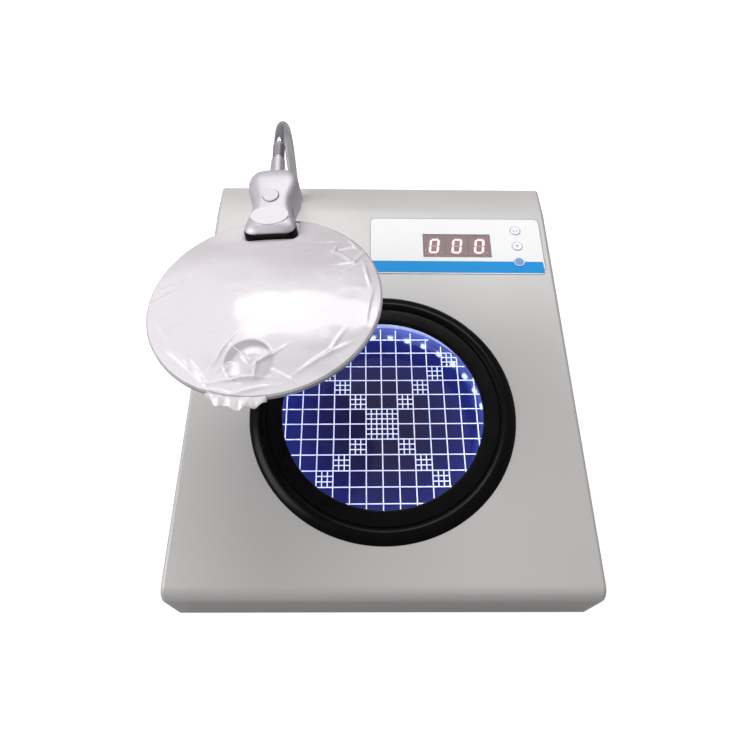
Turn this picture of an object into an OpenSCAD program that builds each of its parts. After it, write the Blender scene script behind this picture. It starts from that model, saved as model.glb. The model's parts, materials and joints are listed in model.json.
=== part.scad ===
// Bench colony counter: a sloped sheet-steel housing with a lit counting well,
// a three-digit display with three keys, and a magnifier on a gooseneck.

/* [Housing] */
// Width of the housing
body_w = 230; // [216:1:250]
// Height of the front corner, before its bend, above the housing's lower edge
front_h = 35; // [34:0.5:42]
// Slope of the deck in degrees
deck_tilt = 7; // [6:0.25:8]
// Depth of the level strip behind the ridge
strip_d = 27; // [26:1:32]
// Thickness of the sheet
sheet_t = 1.5; // [1.2:0.1:2]
// Outside radius of the bend along the front
front_bend_r = 8; // [5:1:20]
// Outside radius of the other bends
edge_r = 2.5; // [2.4:0.1:4]
// Height of the rubber feet
foot_h = 6; // [5:0.5:10]
// Radius of a foot where it meets the base plate
foot_r = 10; // [9:0.5:13]
// Distance of each foot from the housing's edges
foot_inset = 24; // [20:1:32]
// Side of the welded tabs that take the base screws
tab_w = 12; // [11:0.5:16]
// Distance from each foot to the base plate's nearest screw, along the side
tab_step = 26; // [24:1:32]
// Gap between the base plate and the housing all round
base_gap = 0.5; // [0.4:0.1:1]

/* [Counting well] */
// Distance from the housing's front corner to the bezel, along the deck
front_margin = 26; // [24:0.5:32]
// Gap between the bezel and the control panel, along the deck
well_gap = 19.385; // [16:0.005:26]
// Depth of the counting grid below the deck
grid_depth = 23.5; // [22:0.5:24]
// Outer radius of the bezel
bezel_r = 78; // [74:0.25:82]
// Width of the bezel beyond the hole in the deck
bezel_lap = 8; // [6:0.25:9]
// Width of the bezel's rounded outer part, up to the fine step in its face
bezel_outer_w = 9.7; // [9:0.1:11]
// Width of the bezel's flat inner band
bezel_inner_w = 9.1; // [7:0.1:11]
// Height of the bezel's inner band above the deck
bezel_band_h = 1.3; // [1:0.1:2]
// Extra height of the bezel's rounded outer part
bezel_crown = 1.7; // [1:0.1:3]
// Depth of the bezel's skirt below the deck
skirt_h = 7; // [5:0.5:9]
// Wall of the light chamber
chamber_wall = 2; // [1.6:0.1:2.5]
// Width of the light chamber's flange beyond its wall
chamber_flange = 8; // [7.5:0.25:9]
// Thickness of the engraved grid plate
plate_t = 3; // [2:0.5:4]
// Thickness of the dark field sheet under the grid plate
field_t = 0.8; // [0.5:0.1:1.2]
// Width of the light strip
strip_w = 8; // [6:0.5:9]
// Number of lamps on the light strip
lamp_count = 36; // [24:1:48]
// Length of one lamp along the strip
lamp_w = 3.5; // [2.8:0.1:5]

/* [Control panel] */
// Width of the membrane panel
panel_w = 118; // [112:1:120]
// Depth of the membrane panel, along the slope
panel_d = 47; // [45:0.5:48]
// Gap between the panel and the housing's right side
panel_margin = 5; // [4:0.5:9]
// Gap between the panel's upper edge and the ridge
panel_gap = 4.5; // [3.5:0.5:6]
// Thickness of the membrane panel
panel_t = 0.5; // [0.4:0.1:0.8]
// Corner radius of the membrane panel
panel_corner = 4; // [2:0.5:6]
// Width of one digit module
digit_w = 15.2; // [14.5:0.1:15.6]
// Height of one digit module, along the slope
digit_d = 19.2; // [18:0.1:20]
// Thickness of one digit module
digit_t = 8; // [7:0.5:9]
// Number of digit modules
digit_count = 3; // [3:1:3]
// Gap between neighbouring digit modules
digit_gap = 0.2; // [0.2:0.1:0.5]
// Centre of the display from the panel's left edge
display_x = 59.4; // [56:0.2:62]
// Centre of the display above the panel's lower edge
display_y = 23.2; // [22:0.2:25]
// Height of a lit digit
glyph_h = 12.2; // [10:0.2:14]
// Width of a lit digit
glyph_w = 6.6; // [5:0.2:8]
// Slant of a lit digit in degrees
glyph_slant = 8; // [0:1:10]
// Radius of a key
key_r = 3.7; // [3.4:0.1:4.2]
// Height of a key above the panel
key_proud = 0.4; // [0.3:0.1:0.8]
// Distance between neighbouring keys
key_pitch = 13.2; // [12:0.2:14]
// Centre of the keys from the panel's right edge
key_x = 17.5; // [12:0.5:18]
// Centre of the lowest key above the panel's lower edge
key_y = 9.8; // [9:0.2:12]
// Travel of a key
key_travel = 0.3; // [0.2:0.05:0.4]
// Thickness of the circuit boards
board_t = 1.6; // [1:0.2:2]

/* [Rear panel] */
// Width of the rear connector panel
rear_w = 160; // [150:1:170]
// Height of the rear connector panel
rear_hgt = 42; // [38:1:44]
// Gap between the rear panel and the housing's right side
rear_margin = 15; // [11:1:21]
// Height of the rear panel's centre above the housing's lower edge
rear_z = 30; // [28:1:32]
// Thickness of the rear panel
rear_t = 1.5; // [1.2:0.1:2]
// Distance of the power inlet's outer screw from the rear panel's nearer end
inlet_side = 10; // [9:0.5:14]
// Distance between the centres of the power inlet and the rocker switch
rocker_step = 42; // [38:1:46]
// Distance of the pen jack's centre from the rear panel's other end
jack_side = 34; // [20:1:40]
// Radius of the pen jack's bore
jack_bore_r = 3.2; // [3:0.05:3.3]
// How far the rocker tilts in all, in degrees
rocker_travel = 20; // [14:1:24]

/* [Gooseneck] */
// Radius of the gooseneck tube
neck_r = 3; // [2.6:0.1:3.2]
// Distance of the gooseneck from the housing's left side
neck_side = 54.2; // [50:0.1:60]
// Distance of the gooseneck in front of the rear face
neck_back = 13; // [12:0.5:14]
// Height of the straight stem above the strip
stem_h = 37.5; // [30:0.5:50]
// Radius of the gooseneck's arch
arch_r = 36; // [30:0.5:45]
// How far the arch comes down past level, in degrees
arch_over = 8; // [4:0.5:14]
// Turn of the gooseneck to the right of straight ahead, in degrees
neck_yaw = 1.4; // [0:0.1:6]
// Lean of the magnifier about the gooseneck's end, in degrees
head_roll = 3.6; // [0:0.1:6]
// Length of the ribbed collar
collar_l = 10.5; // [8:0.5:14]
// Length of the tapered neck socket
socket_l = 14.5; // [12:0.5:18]

/* [Magnifier] */
// Radius of the lens
lens_r = 55.3; // [53:0.1:57]
// Thickness of the lens at its rim
lens_edge = 2; // [1.6:0.1:3]
// Radius of curvature of each lens face
lens_curve = 245; // [220:5:300]
// Radius of the small strong lens on the upper face
spot_r = 11; // [8:0.5:12]
// Height of the small strong lens
spot_h = 2.4; // [1.5:0.1:3]
// Distance of the small strong lens from the lens centre
spot_dist = 31; // [26:0.5:36]
// Angle between the hub's axis and the lens
hub_angle = 10; // [8:0.5:12]
// How far the hub grips the lens from its rim
grip_l = 18; // [16:0.5:20]
// Width of the hub at the lens
hub_front_w = 27.4; // [26:0.2:30]
// Width of the hub at its waist
hub_waist_w = 20.2; // [19.4:0.2:22]
// Width of the hub at its rear shoulders
hub_rear_w = 27; // [24:0.2:29]
// Length of the hub
hub_l = 45; // [43:0.5:47]
// Wall of the hub's shells
hub_wall = 1.8; // [1.5:0.1:2.2]
// Radius of the lamp button
button_r = 4.2; // [3.6:0.1:4.6]
// Travel of the lamp button
button_travel = 0.8; // [0.5:0.1:1]
// Radius of a button cell
cell_r = 6.25; // [4.5:0.05:6.5]
// Thickness of a button cell
cell_t = 2; // [1.6:0.2:2.4]
// Thickness of the clear film left on the lens
film_t = 0.2; // [0.1:0.05:0.3]

/* [Fasteners] */
// Radius of the machine screws
screw_r = 1.5; // [1.25:0.05:1.6]
// Radius of the foot screws
foot_screw_r = 2; // [1.75:0.05:2.25]
// Clearance round a screw in a plain hole
hole_gap = 0.2; // [0.15:0.05:0.3]
// Length of the screws in the base, the rear panel and the circuit boards, past their plate
screw_bite = 3.5; // [3:0.5:5]
// Clearance of a seated or threaded piece
seat_gap = 0.05; // [0.03:0.01:0.08]

/* [Hidden] */
$fn = 64;

// Housing, seen from the side: y runs back from the front face, z up from the lower edge. The deck
// is as long as what lies on it.
ridge_s = front_margin + 2 * bezel_r + well_gap + panel_d + panel_gap;
ridge_y = ridge_s * cos(deck_tilt);
body_d = ridge_y + strip_d;
rear_h = front_h + ridge_y * tan(deck_tilt);
inner_w = body_w - 2 * sheet_t;
slot_l = 44;
slot_w = 3;
slot_pitch = 8;

// Well, measured down from the deck
well_s = front_margin + bezel_r;
well_r = bezel_r - bezel_lap;
bezel_step_r = bezel_r - bezel_outer_w;
bezel_open_r = bezel_step_r - bezel_inner_w;
under_sheet = sheet_t + seat_gap;
field_top = grid_depth + plate_t;
floor_top = field_top + field_t;
floor_bottom = floor_top + chamber_wall;
chamber_r = well_r + chamber_wall;
flange_r = chamber_r + chamber_flange;
flange_t = 2.5;
stud_ring_r = chamber_r + chamber_flange / 2;
stud_count = 4;
nut_h = 1.6 * screw_r;
nut_af = 3.65 * screw_r;
lamp_depth = skirt_h + 0.5 + strip_w / 2;

// Panel, measured along the deck
panel_s = ridge_s - panel_gap - panel_d;
panel_x = body_w / 2 - panel_margin - panel_w / 2;
panel_left = panel_x - panel_w / 2;
display_w = digit_count * digit_w + (digit_count - 1) * digit_gap;
key_s = panel_s + key_y;
keys_x = panel_x + panel_w / 2 - key_x;
board_top = digit_t + seat_gap;
board_w = panel_w - 6;
board_d = panel_d - 4;
board_inset = 4;
key_gap = 0.05;
stem_r = 2.4;
switch_plunger_h = 0.9;
switch_h = 3.5;
switch_w = 6;
chip_w = 22;
chip_d = 10;
chip_h = 2.4;

// Rear
inlet_w = 27;
inlet_h = 20;
inlet_pitch = 40;
inlet_d = 19;
inlet_lip = 1.8;
lip_ear = 5;
lip_edge = 1.5;
recess_edge = 2;
pin_w = 2;
pin_d = 4;
pin_pitch = 7;
rear_x = body_w / 2 - rear_margin - rear_w / 2;
inlet_x = rear_w / 2 - inlet_side - inlet_pitch / 2;
rocker_x = inlet_x - rocker_step;
jack_x = jack_side - rear_w / 2;
rear_inset = 4;
jack_proud = 3.5;
jack_wall = 1.6;
jack_l = 14;
rear_proud = rear_t + jack_proud;
rear_corner = 3;

// Power board, on the base plate
power_w = 90;
power_d = 52;
cable_lap = 1;
power_back = 36;
power_x = panel_left + cable_lap - power_w / 2;
power_y = body_d - power_back - power_d / 2;
power_inset = 4;
spacer_h = 6;
module_w = 46;
module_d = 26;
module_h = 16;
module_inset = 11;
can_gap = 12;
big_can_r = 6;
big_can_h = 14;
small_can_r = 5;
small_can_h = 11;
cable_w = 14;
cable_lean = 8;
cable_inset = 6;

// Gooseneck and magnifier
ball_gap = seat_gap;
socket_cut = 1.9;
neck_x = neck_side - body_w / 2;
neck_y = body_d - neck_back;
arch_end_y = -arch_r * (1 + sin(arch_over));
arch_end_z = stem_h + arch_r * cos(arch_over);
neck_cross = lens_r - 6.3;
neck_reach = 61;
hub_y0 = lens_r - grip_l;
hub_y1 = hub_y0 + hub_l;
hub_end_r = 4.4;
socket_r = 3.7;
clamp_back = lens_r + 2;
clamp_top = 7.5;
clamp_bottom = -5;
split_z = 3;
shell_gap = 0.05;
hub_end_z = (hub_y1 - neck_cross) * tan(hub_angle);
hub_waist_y = hub_y0 + 20;
hub_shoulder_y = hub_y0 + 34;
hub_screw_x = 7;
button_y = hub_y0 + 22.5;
inlay_y = hub_y0 + 9.7;
inlay_w = 9.6;
inlay_d = 5.9;
lens_sag = lens_curve - sqrt(lens_curve * lens_curve - lens_r * lens_r);
spot_curve = (spot_r * spot_r + spot_h * spot_h) / (2 * spot_h);
spot_x = -3;
film_gap = 0.1;

// ---- Shared shapes ----

function arc(cx, cy, r, a0, a1, n = 8) =
    [for (i = [0:n]) let (a = a0 + (a1 - a0) * i / n) [cx + r * cos(a), cy + r * sin(a)]];

function smooth(t) = let (u = min(max(t, 0), 1)) u * u * (3 - 2 * u);

module rounded_plate(w, d, r, h)
    linear_extrude(h) polygon(concat(
        arc(w / 2 - r, d / 2 - r, r, 0, 90),
        arc(-w / 2 + r, d / 2 - r, r, 90, 180),
        arc(-w / 2 + r, -d / 2 + r, r, 180, 270),
        arc(w / 2 - r, -d / 2 + r, r, 270, 360)));

module nut(af, h, bore) difference() {
    cylinder(d = af / cos(30), h = h, $fn = 6);
    translate([0, 0, -1]) cylinder(r = bore, h = h + 2);
}

// A screw that points up, with its head's seat at z = 0
module screw(r, l) {
    cylinder(r = r, h = l);
    translate([0, 0, -1.1 * r]) rotate_extrude() polygon(concat(
        [[0, 1.1 * r]], [[1.9 * r, 1.1 * r]], arc(1.3 * r, 0.6 * r, 0.6 * r, 0, -90, 4), [[0, 0]]));
}

module on_xs(xs) for (x = xs) translate([x, 0, 0]) children();

// ---- Places ----

module in_body() translate([0, -(body_d + rear_proud) / 2, foot_h]) children();
module on_deck(x, s) in_body() translate([0, 0, front_h]) rotate([deck_tilt, 0, 0])
    translate([x, s, 0]) children();
module at_well() on_deck(0, well_s) children();
module on_studs() for (i = [0:stud_count - 1]) rotate([0, 0, 45 + i * 360 / stud_count])
    translate([stud_ring_r, 0, 0]) children();
// On the rear panel's outer face, with z pointing out of the back and y down
module on_back(x, z) in_body() translate([x, body_d + rear_t, z]) rotate([-90, 0, 0]) children();
module on_rear_panel(x) on_back(rear_x + x, rear_z) children();
module at_display() on_deck(panel_left + display_x, panel_s + display_y) children();
module on_digits() at_display() on_xs([for (i = [0:digit_count - 1])
    (i - (digit_count - 1) / 2) * (digit_w + digit_gap)]) children();
module at_key(i) on_deck(keys_x, key_s + i * key_pitch) children();
module at_board() on_deck(panel_x, panel_s + panel_d / 2) children();
module on_board_corners() at_board() for (x = [-1, 1], y = [-1, 1])
    translate([x * (board_w / 2 - board_inset), y * (board_d / 2 - board_inset), 0]) children();
module on_feet() in_body() for (x = [-1, 1], y = [foot_inset, body_d - foot_inset])
    translate([x * (body_w / 2 - foot_inset), y, 0]) children();
module on_tabs() in_body() for (x = [-1, 1],
        y = [foot_inset + tab_step, body_d / 2, body_d - foot_inset - tab_step])
    translate([x * (inner_w / 2 - tab_w / 2), y, 0]) children();
module on_rear_corners() for (x = [-1, 1], y = [-1, 1])
    translate([x * (rear_w / 2 - rear_inset), y * (rear_hgt / 2 - rear_inset), 0]) children();
module at_power_board() in_body() translate([power_x, power_y, sheet_t]) children();
module on_spacers() at_power_board() for (x = [-1, 1], y = [-1, 1])
    translate([x * (power_w / 2 - power_inset), y * (power_d / 2 - power_inset), 0]) children();
// At the foot of the gooseneck, turned so that -y points along its reach
module at_neck() in_body() translate([neck_x, neck_y, rear_h]) rotate([0, 0, neck_yaw]) children();
// At the arch's end, with y running back along the magnifier's neck
module at_head() at_neck() translate([0, arch_end_y, arch_end_z]) rotate([arch_over, 0, 0])
    rotate([0, -head_roll, 0]) children();
// At the lens centre, with y running back to the hub and z out of the upper face
module at_lens() at_head() translate([0, -neck_reach, 0]) rotate([-hub_angle, 0, 0])
    translate([0, -neck_cross, 0]) children();
// On the hub's sloping top, y measured from the lens centre
module on_hub_top(y) at_lens() translate([0, y, hub_top(y)]) rotate([hub_angle - 1, 0, 0]) children();

// ---- Housing ----

// The closed wedge that the sheet is folded round, drawn in by i on every side
module wedge(i) {
    bend_z = front_h + front_bend_r * tan(deck_tilt) - front_bend_r / cos(deck_tilt);
    ridge_c = ridge_y + edge_r * (1 / cos(deck_tilt) - 1) / tan(deck_tilt);
    corners = [[ridge_c, rear_h - edge_r], [body_d - edge_r, rear_h - edge_r],
        [body_d - edge_r, -2 * edge_r], [edge_r, -2 * edge_r]];
    hull() for (side = [-1, 1]) translate([side * (body_w / 2 - edge_r), 0, 0]) {
        translate([0, front_bend_r, bend_z]) rotate([0, 90, 0])
            rotate_extrude($fn = 24) translate([front_bend_r - edge_r, 0]) circle(edge_r - i, $fn = 16);
        for (c = corners) translate([0, c[0], c[1]]) sphere(edge_r - i, $fn = 20);
    }
}

module housing_cover() color("gainsboro") difference() {
    union() {
        in_body() difference() {
            wedge(0);
            wedge(sheet_t);
            translate([-body_w, -body_d, -4 * edge_r]) cube([2 * body_w, 3 * body_d, 4 * edge_r]);
        }
        at_well() on_studs() translate([0, 0, -under_sheet - flange_t - nut_h - 2])
            cylinder(r = screw_r, h = flange_t + nut_h + 2.5);
        on_board_corners() translate([0, 0, -board_top]) cylinder(r = 2.6, h = board_top - sheet_t + 0.5);
        on_tabs() translate([-tab_w / 2 - 0.5, -tab_w / 2, sheet_t]) cube([tab_w + 1, tab_w, 2]);
    }
    at_well() cylinder(r = well_r, h = 4 * sheet_t, center = true);
    at_display() cube([display_w + 0.4, digit_d + 0.4, 4 * sheet_t], center = true);
    for (i = [0:2]) at_key(i) cylinder(r = stem_r + key_gap, h = 4 * sheet_t, center = true);
    on_board_corners() translate([0, 0, -board_top - 1]) cylinder(r = screw_r + seat_gap, h = 6);
    on_tabs() cylinder(r = screw_r + seat_gap, h = 10);
    at_neck() cylinder(r = bush_shank_r + hole_gap, h = 4 * sheet_t, center = true);
    on_rear_panel(0) cube([rear_w - 16, rear_hgt - 16, 8 * sheet_t], center = true);
    on_rear_panel(0) on_rear_corners() cylinder(r = screw_r + seat_gap, h = 8 * sheet_t, center = true);
}

module base_plate() color("lightgray") difference() {
    in_body() translate([0, body_d / 2, 0]) rounded_plate(inner_w - 2 * base_gap,
        body_d - 2 * (sheet_t + base_gap), edge_r - sheet_t, sheet_t);
    on_feet() cylinder(r = foot_screw_r + hole_gap, h = 4 * sheet_t, center = true);
    on_tabs() cylinder(r = screw_r + hole_gap, h = 4 * sheet_t, center = true);
    on_spacers() cylinder(r = screw_r + hole_gap, h = 4 * sheet_t, center = true);
    // Two banks of cooling slots
    for (x = [-1, 1], i = [-3:3]) in_body()
        translate([x * body_w / 4, body_d * 0.44 + i * slot_pitch, -1])
            rounded_plate(slot_l, slot_w, slot_w / 2, sheet_t + 2);
}

module base_screws() color("silver") on_tabs() screw(screw_r, sheet_t + screw_bite + 0.5);

module rubber_feet() color("black") on_feet() rotate_extrude() polygon(concat(
    [[foot_screw_r + hole_gap, 0], [foot_screw_r + hole_gap, -foot_seat_t],
    [2.2 * foot_screw_r, -foot_seat_t], [2.2 * foot_screw_r, -foot_h]],
    arc(foot_r - 2.5, -foot_h + 1, 1, 270, 350), [[foot_r, 0]]));

foot_seat_t = 2.4;

module foot_screws() color("silver") on_feet() translate([0, 0, -foot_seat_t])
    screw(foot_screw_r, foot_seat_t + sheet_t + 5);

module foot_nuts() color("silver") on_feet() translate([0, 0, sheet_t])
    nut(3.5 * foot_screw_r, 1.6 * foot_screw_r, foot_screw_r + seat_gap);

// ---- Counting well ----

module bezel_ring() color("#1c1b1f") at_well() rotate_extrude($fn = 180) polygon(concat(
    [for (i = [0:16]) let (t = i / 16) [bezel_r - (bezel_r - bezel_step_r - 0.3) * t,
        bezel_band_h * min(1, 1.4 * t) + bezel_crown * pow(sin(180 * t), 0.7)]],
    [[bezel_step_r, bezel_band_h - 0.5], [bezel_step_r - 0.3, bezel_band_h]],
    arc(bezel_open_r + 1, bezel_band_h - 1, 1, 90, 180, 6),
    [[bezel_open_r, -lip_t + bezel_band_h], [well_r - skirt_t, -lip_t + bezel_band_h],
    [well_r - skirt_t, -skirt_h], [well_r - skirt_gap, -skirt_h], [well_r - skirt_gap, 0],
    [gasket_r0, 0], [gasket_r0, gasket_t], [gasket_r1, gasket_t], [gasket_r1, 0]]));

lip_t = 3;
skirt_t = 2.3;
skirt_gap = 0.3;
gasket_t = 0.8;
gasket_r0 = well_r + 1;
gasket_r1 = bezel_r - 2;

module bezel_gasket() color("dimgray") at_well() difference() {
    cylinder(r = gasket_r1 - seat_gap, h = gasket_t - seat_gap, $fn = 128);
    translate([0, 0, -1]) cylinder(r = gasket_r0 + seat_gap, h = gasket_t + 2, $fn = 128);
}

module light_chamber() color("whitesmoke") at_well() difference() {
    rotate_extrude($fn = 128) polygon([[0, -floor_bottom], [chamber_r, -floor_bottom],
        [chamber_r, -under_sheet - flange_t], [flange_r, -under_sheet - flange_t],
        [flange_r, -under_sheet], [well_r, -under_sheet], [well_r, -floor_top], [0, -floor_top]]);
    on_studs() translate([0, 0, -sheet_t - 2 * flange_t]) cylinder(r = screw_r + hole_gap, h = 4 * flange_t);
    // Way out for the strip's lead
    translate([0, well_r - 3, -lamp_depth]) rotate([-90, 0, 0]) cylinder(r = 1.5, h = 10);
}

module chamber_nuts() color("silver") at_well() on_studs()
    translate([0, 0, -under_sheet - flange_t - nut_h]) nut(nut_af, nut_h, screw_r + seat_gap);

strip_t = 0.6;
strip_r = well_r - 0.1;

module light_strip() color("white") at_well() translate([0, 0, -lamp_depth - strip_w / 2]) difference() {
    cylinder(r = strip_r, h = strip_w, $fn = 128);
    translate([0, 0, -1]) cylinder(r = strip_r - strip_t, h = strip_w + 2, $fn = 128);
}

module strip_lamps() color("lightyellow") at_well() for (i = [0:lamp_count - 1])
    rotate([0, 0, i * 360 / lamp_count])
        translate([strip_r - strip_t - 0.1 - lamp_t, -lamp_w / 2, -lamp_depth - lamp_h / 2])
            cube([lamp_t, lamp_w, lamp_h]);

lamp_t = 1.8;
lamp_h = 2.8;

module grid_plate() color("#3a3f9a") at_well() translate([0, 0, -field_top]) rotate_extrude($fn = 128)
    polygon([[0, 0], [plate_r - 0.4, 0], [plate_r, 0.4], [plate_r, plate_t - 0.4],
        [plate_r - 0.4, plate_t], [0, plate_t]]);

plate_r = well_r - 0.4;

module field_sheet() color("midnightblue") at_well() translate([0, 0, -floor_top])
    cylinder(r = plate_r, h = field_t, $fn = 128);

// ---- Control panel ----

module display_overlay() color("white") difference() {
    on_deck(panel_x, panel_s + panel_d / 2) rounded_plate(panel_w, panel_d, panel_corner, panel_t);
    at_display() cube([display_w + 0.4, digit_d + 0.4, 4 * panel_t], center = true);
    for (i = [0:2]) at_key(i) cylinder(r = key_r + 0.15, h = 4 * panel_t, center = true);
}

module display_window() color("mistyrose", 0.5) at_display()
    translate([-display_w / 2, -digit_d / 2, 0]) cube([display_w, digit_d, panel_t - seat_gap]);

module digit_modules() color("#8c7f80") difference() {
    on_digits() translate([-digit_w / 2, -digit_d / 2, -board_top]) cube([digit_w, digit_d, digit_t]);
    grow_segments(0.03) { upright_segments(0.03); middle_segment(0.03); }
}

// One bar with pointed ends, along x
module bar(l, t, g) {
    h = t / 2 + g;
    linear_extrude(glyph_t + g) polygon([[-l / 2 - g, 0], [-l / 2 + h - g, h], [l / 2 - h + g, h],
        [l / 2 + g, 0], [l / 2 - h + g, -h], [-l / 2 + h - g, -h]]);
}

glyph_t = 0.5;
bar_t = 1.5;
bar_gap = 0.15;

// Slants a point of the digit: x moves with height above its middle
function slant(x, y) = [x + y * tan(glyph_slant), y, 0];

module upright_segments(g) {
    half = glyph_h / 2 - bar_t / 2;
    w = glyph_w - bar_t;
    for (y = [-1, 1]) {
        translate(slant(0, y * half)) bar(w - 2 * bar_gap, bar_t, g);
        for (x = [-1, 1]) translate(slant(x * w / 2, y * half / 2)) rotate([0, 0, 90 - glyph_slant])
            bar(half - 2 * bar_gap, bar_t, g);
    }
}

module middle_segment(g) {
    bar(glyph_w - bar_t - 2 * bar_gap, bar_t, g);
    translate([glyph_w / 2 + 1.6, -glyph_h / 2 + 0.6, 0]) cylinder(r = 0.6 + g, h = glyph_t + g, $fn = 24);
}

module grow_segments(g) on_digits() translate([0, 0, -seat_gap - glyph_t - g]) children();

module outer_segments() color("mistyrose") grow_segments(0) upright_segments(0);
module centre_segments() color("rosybrown") grow_segments(0) middle_segment(0);

module control_board() color("seagreen") difference() {
    at_board() translate([-board_w / 2, -board_d / 2, -board_top - board_t])
        cube([board_w, board_d, board_t]);
    on_board_corners() translate([0, 0, -board_top - board_t - 1])
        cylinder(r = screw_r + hole_gap, h = board_t + 2);
}

module board_screws() color("silver") on_board_corners() translate([0, 0, -board_top - board_t])
    screw(screw_r, board_t + screw_bite + 1);

module key_switches() color("dimgray") for (i = [0:2]) at_key(i) translate([0, 0, -board_top]) {
    translate([-switch_w / 2, -switch_w / 2, 0]) cube([switch_w, switch_w, switch_h]);
    cylinder(r = 1.6, h = switch_h + switch_plunger_h);
}

module controller_chip() color("black") at_board()
    translate([-chip_w * 0.7, -chip_d * 0.6, -board_top - board_t - chip_h]) cube([chip_w, chip_d, chip_h]);

// A key's cap lies in the panel, and its stem reaches down to its switch
module key(i, shade) color(shade) at_key(i) {
    under = key_travel + 0.05;
    translate([0, 0, under]) rotate_extrude() polygon(concat([[0, 0], [key_r, 0]],
        arc(key_r - 0.25, panel_t + key_proud - under - 0.25, 0.25, 0, 90, 4),
        [[0, panel_t + key_proud - under]]));
    stem_foot = -board_top + switch_h + switch_plunger_h + under;
    translate([0, 0, stem_foot]) cylinder(r = stem_r, h = under + 0.2 - stem_foot);
}

module upper_key() key(2, "white");
module middle_key() key(1, "white");
module lower_key() key(0, "#1f8fd8");

// ---- Rear panel ----

module rear_panel() color("lightgray") difference() {
    on_rear_panel(0) translate([0, 0, -rear_t]) rounded_plate(rear_w, rear_hgt, rear_corner, rear_t);
    on_rear_panel(0) on_rear_corners() cylinder(r = screw_r + hole_gap, h = 4 * rear_t, center = true);
    on_rear_panel(inlet_x) cube([inlet_w, inlet_h, 4 * rear_t], center = true);
    on_rear_panel(inlet_x) on_xs([-inlet_pitch / 2, inlet_pitch / 2])
        cylinder(r = screw_r + seat_gap, h = 4 * rear_t, center = true);
    on_rear_panel(rocker_x) cube([rocker_w + 2 * frame_wall, rocker_h + 2 * frame_wall, 4 * rear_t],
        center = true);
    on_rear_panel(jack_x) cylinder(r = jack_r + hole_gap, h = 4 * rear_t, center = true);
}

module rear_screws() color("silver") on_rear_panel(0) on_rear_corners() rotate([180, 0, 0])
    screw(screw_r, rear_t + screw_bite);

// Three-pole appliance inlet: lip outside, box behind, and a recess for the plug
module power_inlet() color("#202020") on_rear_panel(inlet_x) difference() {
    union() {
        linear_extrude(inlet_lip) for (turned = [0, 180]) rotate([0, 0, turned]) polygon([
            [-lip_end, 0], [-lip_end + 4, 5], [-lip_side, lip_top], [lip_side, lip_top],
            [lip_end - 4, 5], [lip_end, 0], [lip_end - 4, -1], [-lip_end + 4, -1]]);
        translate([-inlet_w / 2 + 0.2, -inlet_h / 2 + 0.2, -inlet_d])
            cube([inlet_w - 0.4, inlet_h - 0.4, inlet_d + 0.5]);
    }
    translate([0, 0, inlet_lip - recess_d]) linear_extrude(recess_d + 4) polygon([[-recess_x, -recess_y],
        [recess_x, -recess_y], [recess_x, recess_y - 3.8], [recess_x - 4, recess_y],
        [-recess_x + 4, recess_y], [-recess_x, recess_y - 3.8]]);
    on_xs([-inlet_pitch / 2, inlet_pitch / 2]) translate([0, 0, -1])
        cylinder(r = screw_r + hole_gap, h = inlet_lip + 2);
    on_pins() translate([-pin_w / 2 - seat_gap, -pin_d / 2 - seat_gap, -inlet_d - 1])
        cube([pin_w + 2 * seat_gap, pin_d + 2 * seat_gap, 8]);
}

lip_end = inlet_pitch / 2 + lip_ear;
lip_side = inlet_w / 2 + lip_edge;
lip_top = inlet_h / 2 + lip_edge;
recess_x = inlet_w / 2 - recess_edge;
recess_y = inlet_h / 2 - recess_edge - 0.2;
recess_d = 16;

module on_pins() for (x = [-1, 0, 1]) translate([x * pin_pitch, x == 0 ? 2 : -2, 0]) children();

module inlet_pins() color("silver") on_rear_panel(inlet_x) on_pins()
    translate([-pin_w / 2, -pin_d / 2, -inlet_d - 4]) cube([pin_w, pin_d, inlet_d + inlet_lip - 2]);

module inlet_screws() color("silver") on_rear_panel(inlet_x) on_xs([-inlet_pitch / 2, inlet_pitch / 2])
    translate([0, 0, inlet_lip]) rotate([180, 0, 0]) screw(screw_r, inlet_lip + rear_t + screw_bite);

rocker_w = 13;
rocker_h = 19;
rocker_depth = 12;
frame_wall = 1.2;
rocker_gap = 0.25;
rocker_r = 10.5;

module switch_frame() color("#202020") on_rear_panel(rocker_x) difference() {
    union() {
        rounded_plate(rocker_w + 5, rocker_h + 5, 1, 1.6);
        translate([-rocker_w / 2 - frame_wall + 0.1, -rocker_h / 2 - frame_wall + 0.1, -rocker_depth - 2])
            cube([rocker_w + 2 * frame_wall - 0.2, rocker_h + 2 * frame_wall - 0.2, rocker_depth + 2.5]);
    }
    translate([-rocker_w / 2, -rocker_h / 2, -rocker_depth]) cube([rocker_w, rocker_h, rocker_depth + 4]);
    translate([0, 0, -4]) rotate([0, 90, 0])
        cylinder(r = 1.5, h = rocker_w + 1.4, center = true);
}

// The rocker turns about a pin across the frame; its face is a shallow V
module power_rocker() color("#303030") on_rear_panel(rocker_x) translate([0, 0, -4])
    rotate([-rocker_travel / 2, 0, 0]) {
        rotate([0, 90, 0]) cylinder(r = 1.45, h = rocker_w + 1.2, center = true);
        rotate([90, 0, 90]) linear_extrude(rocker_w - 2 * rocker_gap, center = true) polygon(concat(
            [[-6, -3]], [[6, -3]], arc(0, 0, 8.8, 18, 38, 4), [[0, 4.4]], arc(0, 0, 8.8, 142, 162, 4)));
    }

jack_r = 5;

module pen_jack() color("silver") on_rear_panel(jack_x) difference() {
    union() {
        translate([0, 0, -rear_t - jack_l]) cylinder(r = jack_r, h = rear_t + jack_l + jack_proud);
        translate([0, 0, -rear_t - jack_l]) cylinder(r = jack_r + 2.5, h = jack_l);
    }
    translate([0, 0, -rear_t - jack_l + 2]) cylinder(r = jack_bore_r, h = rear_t + jack_l + jack_proud);
}

module jack_nut() color("silver") on_rear_panel(jack_x) nut(14, 2.4, jack_r + seat_gap);

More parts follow.
